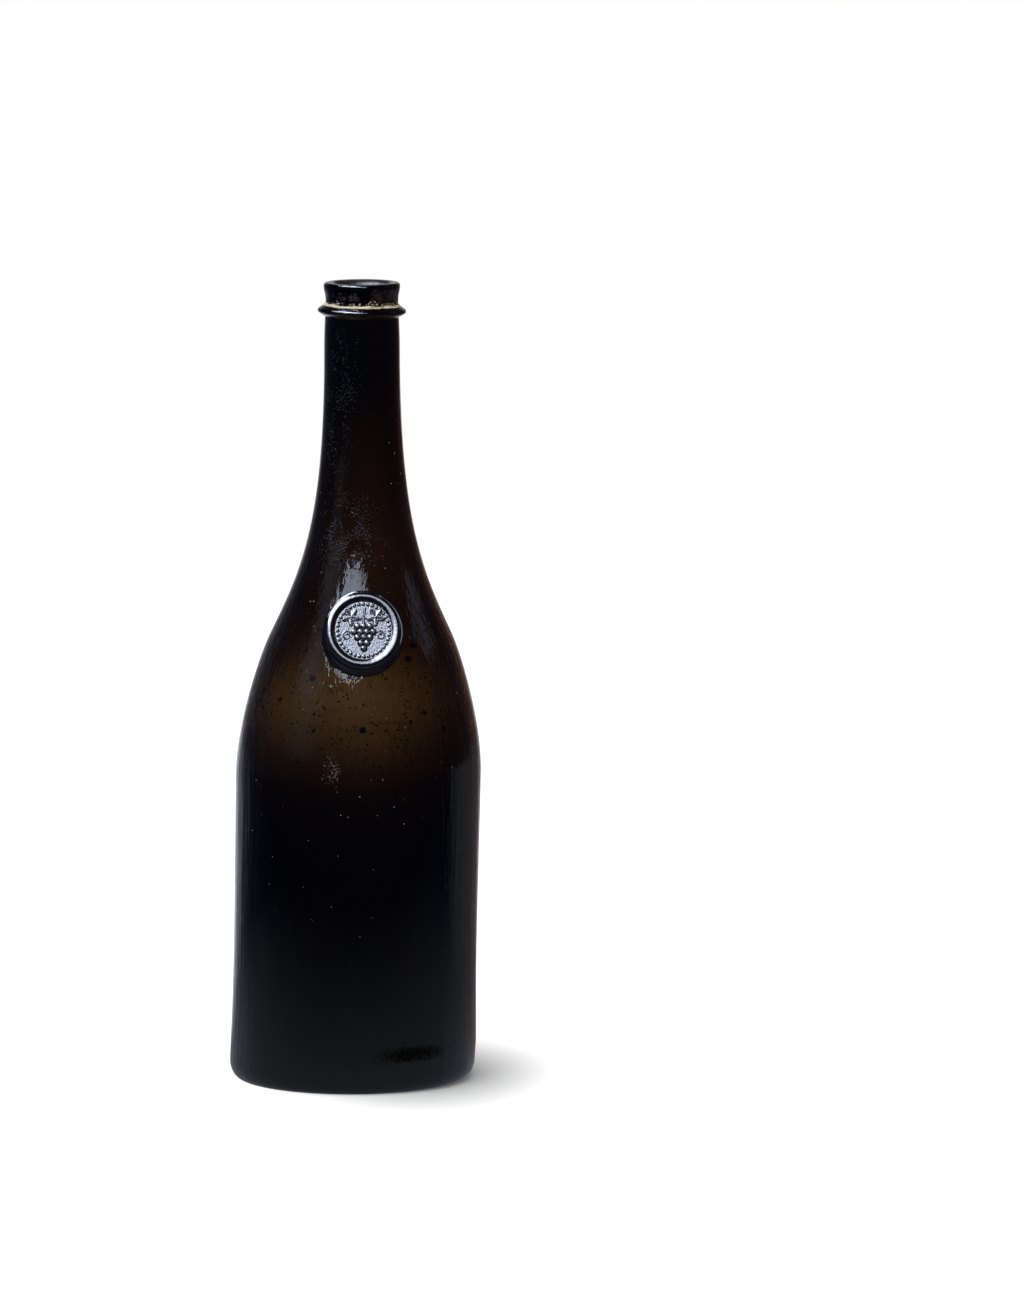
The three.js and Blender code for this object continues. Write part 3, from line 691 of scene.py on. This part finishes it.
# %% Lay the string rim round the neck
RIM_HEIGHT, OVERHANG, RIM_UP, RIM_DOWN = 289.4, 2.8, 2.3, 2.2
RIM_TILT = math.radians(1.2)
rim_radius = float(outer_radius(RIM_HEIGHT)) + OVERHANG
neck_high = float(outer_radius(RIM_HEIGHT + RIM_UP))
neck_low = float(outer_radius(RIM_HEIGHT - RIM_DOWN))
nose_low, nose_high = (rim_radius - 0.38, -0.79), (rim_radius - 0.38, 0.79)
rim_under = along([
    (neck_low, -RIM_DOWN), (neck_low + 0.8, -1.95), (rim_radius - 1.0, -1.27), nose_low,
], 12, 0)
rim_nose = along([nose_low, (rim_radius + 0.13, -0.39), (rim_radius + 0.13, 0.39), nose_high], 10)
rim_over = along([nose_high, (rim_radius - 1.0, 1.27), (neck_high + 0.8, 2.05), (neck_high, RIM_UP)], 12)
rim_inside = np.array([
    (neck_high - 0.5, RIM_UP - 0.2), (neck_high - 0.6, 0), (neck_low - 0.5, 0.2 - RIM_DOWN),
])
rim_outline = np.vstack([rim_under, rim_nose, rim_over, rim_inside, rim_under[:1]])


def crooked(piece):
    """Lifts a ring made round Z = 0 to the string rim's place, with its tilt."""
    shift = Matrix.Translation((float(lean_at(RIM_HEIGHT)) * MM, 0, RIM_HEIGHT * MM))
    piece.data.transform(shift @ Matrix.Rotation(RIM_TILT, 4, "Y"))
    return piece


def ring_rows(points):
    """Rows of a ring made round Z = 0, which takes its lean later, with its tilt."""
    rows = rows_of(points)
    rows.data.attributes["lean"].data.foreach_set("value", np.zeros(len(points), np.float32))
    return rows


rim_glass = glass("string rim glass", ripple=0.5, haze=0.6)
ring = made_by(turned, ring_rows(rim_outline), "string_rim_trail", {
    "Steps Round": 220, "Waviness": 0.0005, "Inner Waviness": 0.0, "Middle": 0.45, "Wave Length": 0.011,
    "Along": 1.0, "Seed": 6.0, "Material": rim_glass,
})
string_rim = crooked(face_outwards(ring))

# %% [markdown]
# ## The sealing compound
# A crust of old cream compound is left in the corner over the string rim. It is a third turned outline,
# embedded a little in the rim and the neck. Its waves are short and nearly as deep as the crust is thick, so
# its edge is ragged. Old compound is dry and chalky: dull and yellowed in patches, and the hollows of its
# lumps are darkened with painted shade.

# %% Crust of sealing compound
crust_foot = np.array([(neck_high - 0.5, 1.5), (neck_high + 0.5, 1.5)])
crust_skin = along([
    (neck_high + 0.75, 1.8), (neck_high + 0.7, 2.2), (neck_high + 0.35, 2.5), (neck_high, 2.55),
], 9, 0)
crust_outline = np.vstack([crust_foot, crust_skin, [(neck_high - 0.5, 2.4)], crust_foot[:1]])
cream_crust, tree = new_material("old cream compound")
lumps = grain(tree, 1.6, detail=5.0, roughness=0.6)
yellowing = grain(tree, 5.0, detail=3.0, seed=4.0)
tone = node(tree, "ShaderNodeMix", {
    0: yellowing, 6: srgb("#B3A277"), 7: srgb("#DDD3B4"),
}, data_type="RGBA").outputs[2]
# Painted shade: the hollows of the lumps are darker.
painted_hollow_shade = node(tree, "ShaderNodeMapRange", [lumps, 0.3, 0.46, 1, 0])
tone = node(tree, "ShaderNodeMix", {0: painted_hollow_shade, 6: tone, 7: srgb("#5A4A2C")}, data_type="RGBA").outputs[2]
shader = node(tree, "ShaderNodeBsdfPrincipled", {
    "Base Color": tone, "Roughness": 0.85,
    "Normal": node(tree, "ShaderNodeBump", {"Height": lumps, "Distance": 0.0004}),
})
node(tree, "ShaderNodeOutputMaterial", {"Surface": shader})
compound = crooked(face_outwards(made_by(turned, ring_rows(crust_outline), "compound_crust", {
    "Steps Round": 420, "Waviness": 0.006, "Inner Waviness": 0.0, "Middle": 0.48, "Wave Length": 0.0017,
    "Along": 1.0, "Seed": 9.0, "Material": cream_crust,
})))

# %% [markdown]
# ## The pontil scar
# While the lip was finished, the bottle was held by a rod stuck to its base. Knocking the rod off left a
# broken ring of glass at the top of the punt. Broken glass has sharp steps and shell-shaped hollows, so
# its waves are deep.

# %% Broken glass at the top of the punt
punt_line = along(PUNT, 40, 0)


def punt_at(r):
    return float(np.interp(r, punt_line[:, 0], punt_line[:, 1]))


scar_under = [(6, 0.2), (6.3, -0.8), (7, -1.5), (8.2, -1.9)]
scar_under += [(9.4, -1.6), (10.3, -0.9), (10.8, -0.3), (11, 0.2)]
scar_over = [(9.5, 0.3), (8, 0.3), (6.8, 0.3)]
scar_outline = np.array([(r, punt_at(r) + h) for r, h in [*scar_under, *scar_over, scar_under[0]]])
broken_glass, tree = new_material("broken black glass")
steps = grain(tree, 1.4, detail=2.0, seed=8.0)
tone = node(tree, "ShaderNodeMix", {0: steps, 6: srgb("#0B0A08"), 7: srgb("#241C10")}, data_type="RGBA")
shader = node(tree, "ShaderNodeBsdfPrincipled", {
    "Base Color": tone.outputs[2], "IOR": GLASS_IOR,
    "Roughness": node(tree, "ShaderNodeMapRange", [steps, 0.3, 0.7, 0.12, 0.45]),
    "Normal": node(tree, "ShaderNodeBump", {"Height": steps, "Distance": 0.0005}),
})
node(tree, "ShaderNodeOutputMaterial", {"Surface": shader})
scar = face_outwards(made_by(turned, rows_of(scar_outline), "pontil_break", {
    "Steps Round": 160, "Waviness": 0.0012, "Inner Waviness": 0.0, "Middle": 0.1, "Wave Length": 0.003,
    "Along": 1.0, "Seed": 12.0, "Material": broken_glass,
}))

# %% [markdown]
# ## Stain in the bore
# The bore is stained black as far down as the cork reached, so no light comes through the mouth. One
# function makes its dull finish and that of the sediment, wax, pitch and dust: two tones, and lumps of
# one size that also roughen it.

# %% A dull crust, and the stained bore
def crust(name, dark, pale, period, rough, shine=0.5):
    """A dull crust in two tones, as lumpy as its period in mm."""
    material, tree = new_material(name)
    lumps = grain(tree, period, detail=5.0, roughness=0.65, seed=13.0)
    tone = node(tree, "ShaderNodeMapRange", [lumps, 0.35, 0.65])
    colour = node(tree, "ShaderNodeMix", {0: tone, 6: srgb(dark), 7: srgb(pale)}, data_type="RGBA").outputs[2]
    shader = node(tree, "ShaderNodeBsdfPrincipled", {
        "Base Color": colour, "Roughness": rough, "Specular IOR Level": shine,
        "Normal": node(tree, "ShaderNodeBump", {"Height": lumps, "Distance": period * MM * 0.2}),
    })
    node(tree, "ShaderNodeOutputMaterial", {"Surface": shader})
    return material


BORE, STAIN_LOW = 9.4, 262.0
bore_line = [(BORE + 0.5, STAIN_LOW), (BORE - 0.2, STAIN_LOW + 1), (BORE - 0.35, 280), (BORE - 0.3, 297.2)]
bore_line += [(BORE - 0.05, 298.5), (BORE + 0.8, 299.4), (BORE + 1.4, 299.4), (BORE + 0.6, 297.0)]
bore_line += [(BORE + 0.5, 280), (BORE + 0.5, STAIN_LOW)]
cork_stain = crust("cork stain", "#040303", "#0E0A08", 2.0, 0.4)
bore_stain = face_outwards(made_by(turned, rows_of(np.array(bore_line)), "stained_bore", {
    "Steps Round": 96, "Waviness": 0.0, "Inner Waviness": 0.0, "Middle": 0.5, "Wave Length": 0.01,
    "Along": 1.0, "Seed": 3.0, "Material": cork_stain,
}))

# %% [markdown]
# ## Sediment, wax, dust and haze
# Inside, dark sediment dried on the shoulder in specks, which show against the glow. Outside, flakes of the
# dark red wax that once sealed the cork cling to the finish, a dark matt smear lies near the foot, and dust
# and lime sit on the skin. These are single pale flecks, which also stand as painted glints of tiny bumps,
# one thicker patch, and a fine speckled haze on the neck and the shoulder. Crumbs of the compound and of the
# cork stain break up the edges of those two. All of it is one tree that scatters small flattened grains on
# one side of the glass, thickest round a middle and in patches, each lying flat on the surface.

# %% Scatter grains on the glass
scattered, given = new_tree("grains on glass", {
    "Side": "Float", "Middle": "Vector", "Reach": "Vector", "Per Square Metre": "Float", "Patch": "Float",
    "Bare": "Float", "Grain": "Float", "Flatness": "Float", "Seed": "Int", "Material": "Material",
})
here = node(scattered, "GeometryNodeInputPosition")
which = node(scattered, "GeometryNodeInputNamedAttribute", {"Name": "inside"}, data_type="FLOAT")
off_side = node(scattered, "ShaderNodeMath", [which, given["Side"]], operation="SUBTRACT")
on_side = node(scattered, "ShaderNodeMapRange", {
    "Value": node(scattered, "ShaderNodeMath", [off_side], operation="ABSOLUTE"), "To Min": 1, "To Max": 0,
})
offset = node(scattered, "ShaderNodeVectorMath", [here, given["Middle"]], operation="SUBTRACT")
shares = node(scattered, "ShaderNodeVectorMath", [offset, given["Reach"]], operation="DIVIDE")
far = node(scattered, "ShaderNodeVectorMath", [shares], operation="LENGTH").outputs["Value"]
near = node(scattered, "ShaderNodeMapRange", [far, 0.4, 1.0, 1, 0], interpolation_type="SMOOTHSTEP")
clouds = node(scattered, "ShaderNodeTexNoise", {
    "Vector": here, "Scale": node(scattered, "ShaderNodeMath", [1, given["Patch"]], operation="DIVIDE"),
    "Detail": 3.0, "W": given["Seed"],
}, noise_dimensions="4D")
above_bare = node(scattered, "ShaderNodeMath", [given["Bare"], 0.2], operation="ADD")
patchy = node(scattered, "ShaderNodeMapRange", [clouds, given["Bare"], above_bare, 0, 1])
thick = node(scattered, "ShaderNodeMath", [near, patchy], operation="MULTIPLY")
thick = node(scattered, "ShaderNodeMath", [thick, on_side], operation="MULTIPLY")
points = node(scattered, "GeometryNodeDistributePointsOnFaces", {
    "Mesh": given["Geometry"], "Seed": given["Seed"],
    "Density": node(scattered, "ShaderNodeMath", [thick, given["Per Square Metre"]], operation="MULTIPLY"),
})
size = node(scattered, "FunctionNodeRandomValue", {
    2: 0.35, 3: 1.0, "Seed": given["Seed"],
}, data_type="FLOAT")
size = node(scattered, "ShaderNodeMath", [size.outputs[1], given["Grain"]], operation="MULTIPLY")
wide = node(scattered, "FunctionNodeRandomValue", {2: 0.6, 3: 1.5, "Seed": 5}, data_type="FLOAT").outputs[1]
form = node(scattered, "ShaderNodeCombineXYZ", {"X": wide, "Y": 1, "Z": given["Flatness"]})
form = node(scattered, "ShaderNodeVectorMath", {0: form, "Scale": size}, operation="SCALE")
crumb = node(scattered, "GeometryNodeMeshIcoSphere", {"Radius": 1.0, "Subdivisions": 1})
crumbs = node(scattered, "GeometryNodeInstanceOnPoints", {
    "Points": points, "Instance": crumb, "Rotation": points.outputs["Rotation"], "Scale": form,
})
crumbs = node(scattered, "GeometryNodeRealizeInstances", {"Geometry": crumbs})
crumbs = node(scattered, "GeometryNodeSetMaterial", {"Geometry": crumbs, "Material": given["Material"]})
node(scattered, "NodeGroupOutput", {"Geometry": crumbs})
print("Scattering tree:", len(scattered.nodes), "nodes")

# %% Sediment inside, wax, flecks and haze outside
# Old wax keeps a little shine. Dried sediment and lime are dull powders, and the dark smear shines not at
# all.
old_wax = crust("old red wax", "#140806", "#3A1C13", 1.5, 0.45)
brown_spots = crust("brown sediment", "#0A0604", "#2A1B0F", 0.6, 0.8)
sediment = crust("dried sediment", "#060403", "#1A110A", 0.8, 0.8)
# Lime and dust. Its single pale flecks also stand as painted glints, for light caught on tiny bumps of the
# skin.
dust_and_glints = crust("lime and dust", "#6E6A64", "#A8A49A", 0.4, 0.9)
haze = crust("neck haze", "#24262B", "#40444C", 0.4, 0.9)
dull_black = crust("smear of pitch", "#030303", "#080706", 1.0, 0.9, shine=0.0)
GRAIN_INPUTS = (
    "Side", "Middle", "Reach", "Per Square Metre", "Patch", "Bare", "Grain", "Flatness", "Seed", "Material",
)
OUTSIDE, INSIDE = 0.0, 1.0
# Sizes in metres. Where the noise that makes the patches is lower than Bare, the glass has no grains.
GRAINS = {
    "sediment_specks": (INSIDE, (0, 0, 0.142), (0.2, 0.2, 0.036),
                        150000, 0.012, 0.36, 0.00052, 0.4, 4, sediment),
    "sediment_crumbs": (INSIDE, (0, 0, 0.147), (0.2, 0.2, 0.034),
                        9000, 0.014, 0.4, 0.0016, 0.15, 7, brown_spots),
    "wax_flakes": (OUTSIDE, (0.01, -0.004, 0.2950), (0.021, 0.021, 0.0042),
                   6e6, 0.005, 0.48, 0.00045, 0.15, 31, old_wax),
    # Single pale flecks: partly dust, partly painted glints.
    "dust_and_glint_flecks": (OUTSIDE, (0, 0, 0.15), (0.2, 0.2, 0.12),
                    14000, 0.02, 0.42, 0.00024, 0.4, 11, dust_and_glints),
    "dust_patch": (OUTSIDE, (-0.0073, -0.045, 0.123), (0.0035, 0.01, 0.0065),
                   8e6, 0.0025, 0.4, 0.00014, 0.3, 12, dust_and_glints),
    "neck_haze": (OUTSIDE, (-0.006, -0.015, 0.26), (0.014, 0.016, 0.039),
                  2.5e6, 0.005, 0.48, 0.00016, 0.3, 15, haze),
    "dark_smear": (OUTSIDE, (0.0213, -0.041, 0.0158), (0.0185, 0.03, 0.002),
                   3e7, 0.004, 0.3, 0.0003, 0.15, 21, dull_black),
    "stain_edge": (INSIDE, (0, 0, 0.262), (0.2, 0.2, 0.014),
                   2.5e6, 0.004, 0.36, 0.0005, 0.15, 24, cork_stain),
    "compound_crumbs": (OUTSIDE, (0, 0, 0.2921), (0.03, 0.03, 0.0013),
                        6e6, 0.003, 0.42, 0.0003, 0.4, 33, cream_crust),
    "shoulder_haze": (OUTSIDE, (-0.002, -0.022, 0.208), (0.018, 0.02, 0.018),
                      7e6, 0.005, 0.46, 0.00016, 0.3, 18, haze),
}
grain_pieces = [
    face_outwards(made_by(scattered, bottle, name, dict(zip(GRAIN_INPUTS, values)), keep_carrier=True))
    for name, values in GRAINS.items()
]

# %% [markdown]
# ## The table
# The bottle stands on a pale table against a white backdrop. Both are white to the camera and through the
# glass, but for a painted shadow round the foot. A dark glossy thing shows whatever stands round it, so for
# reflections the table glows with a dim, painted pool of light that ends in front of the bottle, and the
# backdrop fades to the dark sides of the studio.

# %% How bright the backdrop is in a reflection
BACKDROP_RAMP = ((0.0, 0.0), (0.28, 0.008), (0.62, 0.022), (0.81, 0.14), (0.92, 0.34), (0.99, 1.0))


def heading(tree, direction):
    """The sideways part X and the backward part Y of a direction, as seen from above."""
    flat = node(tree, "ShaderNodeVectorMath", [direction, (1, 1, 0)], operation="MULTIPLY")
    level = node(tree, "ShaderNodeVectorMath", [flat], operation="NORMALIZE")
    return node(tree, "ShaderNodeSeparateXYZ", [level])


def backdrop_fade(tree, backward):
    """A ramp from the dark sides of the studio, at 0, to the white straight behind the bottle, at 1."""
    fade = node(tree, "ShaderNodeValToRGB", [backward])
    ramp = fade.color_ramp
    for position, level in BACKDROP_RAMP:
        ramp.elements.new(position).color = (level, level, level, 1)
    ramp.elements.remove(ramp.elements[0])
    ramp.elements.remove(ramp.elements[-1])
    return fade


# %% The table
TABLE_CORNERS = [(-1.6, -0.95, 0), (1.6, -0.95, 0), (1.6, 1.6, 0), (-1.6, 1.6, 0)]
floor_mesh = bpy.data.meshes.new("floor")
floor_mesh.from_pydata(TABLE_CORNERS, [], [(0, 1, 2, 3)])
floor = placed("floor", floor_mesh)
table, tree = new_material("white table")
path = node(tree, "ShaderNodeLightPath").outputs
here = node(tree, "ShaderNodeTexCoord").outputs["Object"]
away = node(tree, "ShaderNodeVectorMath", [here], operation="LENGTH").outputs["Value"]
# To the camera and through the glass it glows white, with a painted shadow round the foot where that glow is
# weaker.
beside = node(tree, "ShaderNodeMapping", {"Vector": here, "Location": (-0.024, 0, 0), "Scale": (1, 0.6, 1)})
off_foot = node(tree, "ShaderNodeVectorMath", [beside], operation="LENGTH").outputs["Value"]
painted_foot_shadow_fade = node(tree, "ShaderNodeMapRange", [off_foot, 0.018, 0.066, 0.1, 1.0])
seen = node(tree, "ShaderNodeMath", [path["Is Camera Ray"], painted_foot_shadow_fade], operation="MULTIPLY")
seen = node(tree, "ShaderNodeMath", [path["Is Transmission Ray"], 0.9, seen], operation="MULTIPLY_ADD")
lit = node(tree, "ShaderNodeAddShader", [
    node(tree, "ShaderNodeBsdfDiffuse", {"Color": (0.4, 0.4, 0.4, 1)}),
    node(tree, "ShaderNodeEmission", {"Strength": seen}),
])
# In a reflection it glows with a painted pool of light round the bottle, and behind the bottle it is painted
# as bright as the backdrop.
oval = node(tree, "ShaderNodeMapping", {"Vector": here, "Location": (0.03, 0, 0), "Scale": (0.85, 1, 1)})
off_middle = node(tree, "ShaderNodeVectorMath", [oval], operation="LENGTH").outputs["Value"]
painted_pool = node(tree, "ShaderNodeMapRange", [off_middle, 0.03, 0.5, 0.25, 0], interpolation_type="SMOOTHSTEP")
outwards = heading(tree, here)
nearer = node(tree, "ShaderNodeMapRange", [away, 0.3, 1.1, 2.2, 1.5])
backdrop_light = backdrop_fade(tree, outwards.outputs["Y"])
behind = node(tree, "ShaderNodeMath", [backdrop_light, nearer], operation="MULTIPLY")
to_right = node(tree, "ShaderNodeMapRange", [outwards.outputs["X"], 0.1, 0.4, 0, 1])
behind = node(tree, "ShaderNodeMath", [
    behind, node(tree, "ShaderNodeMapRange", [to_right, 0, 1, 1, 0.12]),
], operation="MULTIPLY")
rightwards = node(tree, "ShaderNodeMapRange", [outwards.outputs["X"], 0, 0.2, 0, 0.15])
card = node(tree, "ShaderNodeMapRange", [outwards.outputs["Y"], 0.06, 0.2, 0, rightwards])
brightest = node(tree, "ShaderNodeMath", [painted_pool, behind], operation="MAXIMUM")
brightest = node(tree, "ShaderNodeMath", [brightest, card], operation="MAXIMUM")
# Far to the right, behind the bottle, that painted light is warm. Elsewhere it is a little cold.
far_right = node(tree, "ShaderNodeMath", [
    to_right, node(tree, "ShaderNodeMapRange", [outwards.outputs["Y"], 0.3, 0.6, 0, 1]),
], operation="MULTIPLY")
tinted = node(tree, "ShaderNodeMix", {0: far_right, 6: srgb("#EEF3FF"), 7: srgb("#E6CFC2")}, data_type="RGBA")
mirrored = node(tree, "ShaderNodeMix", {
    0: brightest, 6: (0.012, 0.018, 0.045, 1), 7: tinted.outputs[2],
}, data_type="RGBA")
glow = node(tree, "ShaderNodeEmission", {"Color": mirrored.outputs[2], "Strength": 1.0})
either = node(tree, "ShaderNodeMixShader", [path["Is Glossy Ray"], lit, glow])
node(tree, "ShaderNodeOutputMaterial", {"Surface": either})
floor_mesh.materials.append(table)
print("Table finish:", len(tree.nodes), "nodes")

# %% [markdown]
# ## The backdrop
# The backdrop is the world itself. To the camera and through the glass it is plain white. In a reflection
# it is bright only low down and behind the bottle, warmer on the right, and the dark studio is everywhere
# else. Dull surfaces get an even grey light from it.

# %% The backdrop
world = bpy.data.worlds.new("studio")
bpy.context.scene.world = world
world.use_nodes = True
tree = world.node_tree
tree.nodes.clear()
path = node(tree, "ShaderNodeLightPath").outputs
sight = node(tree, "ShaderNodeTexCoord").outputs["Generated"]
fade = backdrop_fade(tree, heading(tree, sight).outputs["Y"])
height = node(tree, "ShaderNodeSeparateXYZ", [sight]).outputs["Z"]
cut_off = node(tree, "ShaderNodeMapRange", [height, 0.2, 0.5, 0.45, 0.02])
level = node(tree, "ShaderNodeMath", [fade, cut_off], operation="MULTIPLY")
to_right = node(tree, "ShaderNodeMapRange", [heading(tree, sight).outputs["X"], 0.1, 0.4, 0, 1])
level = node(tree, "ShaderNodeMath", [
    level, node(tree, "ShaderNodeMapRange", [to_right, 0, 1, 1, 1.8]),
], operation="MULTIPLY")
warmed = node(tree, "ShaderNodeMix", {0: to_right, 6: (1, 1, 1, 1), 7: srgb("#D0906E")}, data_type="RGBA")
base = node(tree, "ShaderNodeMix", {
    0: to_right, 6: (0.028, 0.032, 0.058, 1), 7: (0.038, 0.028, 0.042, 1),
}, data_type="RGBA")
dusk = node(tree, "ShaderNodeMix", {0: level, 6: base.outputs[2], 7: warmed.outputs[2]}, data_type="RGBA")
direct_or_through = [path["Is Camera Ray"], path["Is Transmission Ray"]]
through = node(tree, "ShaderNodeMath", direct_or_through, operation="MAXIMUM")
fill = node(tree, "ShaderNodeMix", {
    0: path["Is Glossy Ray"], 6: (0.35, 0.35, 0.35, 1), 7: dusk.outputs[2],
}, data_type="RGBA")
sky = node(tree, "ShaderNodeMix", {0: through, 6: fill.outputs[2], 7: (1, 1, 1, 1)}, data_type="RGBA")
node(tree, "ShaderNodeOutputWorld", {
    "Surface": node(tree, "ShaderNodeBackground", {"Color": sky.outputs[2], "Strength": 1.0}),
})
print("Backdrop:", len(tree.nodes), "nodes")

# %% [markdown]
# ## Softboxes
# Black glass is drawn by its reflections, so each softbox is there for some of them. The round key, high
# and a little to the left, makes the soft patch above the seal and lights the seal's satin field, which
# its hot core lifts further. The bright softbox gives the glints on the lip, the string rim and the seal.
# The left strips give the faint sheen down the left side, and the right strip the light edge on the right
# of the seal. The broad fill shows in no reflection and only lights what is dull, such as compound, wax
# and dust.
# %% Softboxes
LAMP_DISTANCE, AIM_HEIGHT = 2.0, 0.17


def softbox(name, azimuth, elevation, width, height, radiance, colour="#DCE8FF", shape="RECTANGLE", **seen):
    """An area light aimed at the shoulder. Azimuth 0 is in front of the bottle, positive to the right."""
    a, e = math.radians(azimuth), math.radians(elevation)
    back = Vector((math.sin(a) * math.cos(e), -math.cos(a) * math.cos(e), math.sin(e)))
    lamp = bpy.data.lights.new(name, "AREA")
    lamp.shape, lamp.size, lamp.size_y = shape, width, height
    lamp.energy = radiance * math.pi * width * height * (math.pi / 4 if shape == "ELLIPSE" else 1)
    lamp.color = srgb(colour)[:3]
    light = placed(name, lamp)
    aim = back.to_track_quat("Z", "Y").to_matrix().to_4x4()
    light.matrix_world = Matrix.Translation(Vector((0, 0, AIM_HEIGHT)) + back * LAMP_DISTANCE) @ aim
    light.visible_camera = False
    for rays, kept in seen.items():
        setattr(light, rays, kept)


softbox("round key", -17, 49.5, 1.72, 1.72, 5, shape="ELLIPSE", visible_diffuse=False)
softbox("hot core of the key", -17, 50, 0.8, 0.8, 9, shape="ELLIPSE", visible_diffuse=False)
softbox("broad fill", -20, 58, 1.78, 1.78, 3.8, "#FFFFFF", visible_glossy=False, visible_transmission=False)
softbox("bright softbox", -70, 60, 1.78, 1.1, 22, visible_diffuse=False)
softbox("right strip", 97, 27, 0.71, 0.58, 0.3)
softbox("left strip", -60, 29.5, 0.89, 0.76, 0.3)
softbox("left low strip", -60, 11.5, 0.89, 0.53, 0.09)
print("Lamps:", ", ".join(lamp.name for lamp in bpy.data.lights))

# %% [markdown]
# ## Pieces on the body
# Every piece rides on the bottle's one rigid body. Each finer piece stands for the CAD solid of the same
# thing, which is then hidden.

# %% Pieces and bodies
for piece in (bore_stain, *grain_pieces):
    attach(piece, "root")
for piece, cad_node, finish in (
    (bottle, "bottle", "black_glass"),
    (string_rim, "string_rim", "rim_glass"),
    (seal, "seal_pad", "seal_glass"),
    (compound, "sealing_compound", "cream_compound"),
    (scar, "pontil_scar", "scar_glass"),
):
    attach(piece, "root")
    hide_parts(cad_node)

scene = bpy.context.scene
scene.view_settings.view_transform = "Standard"
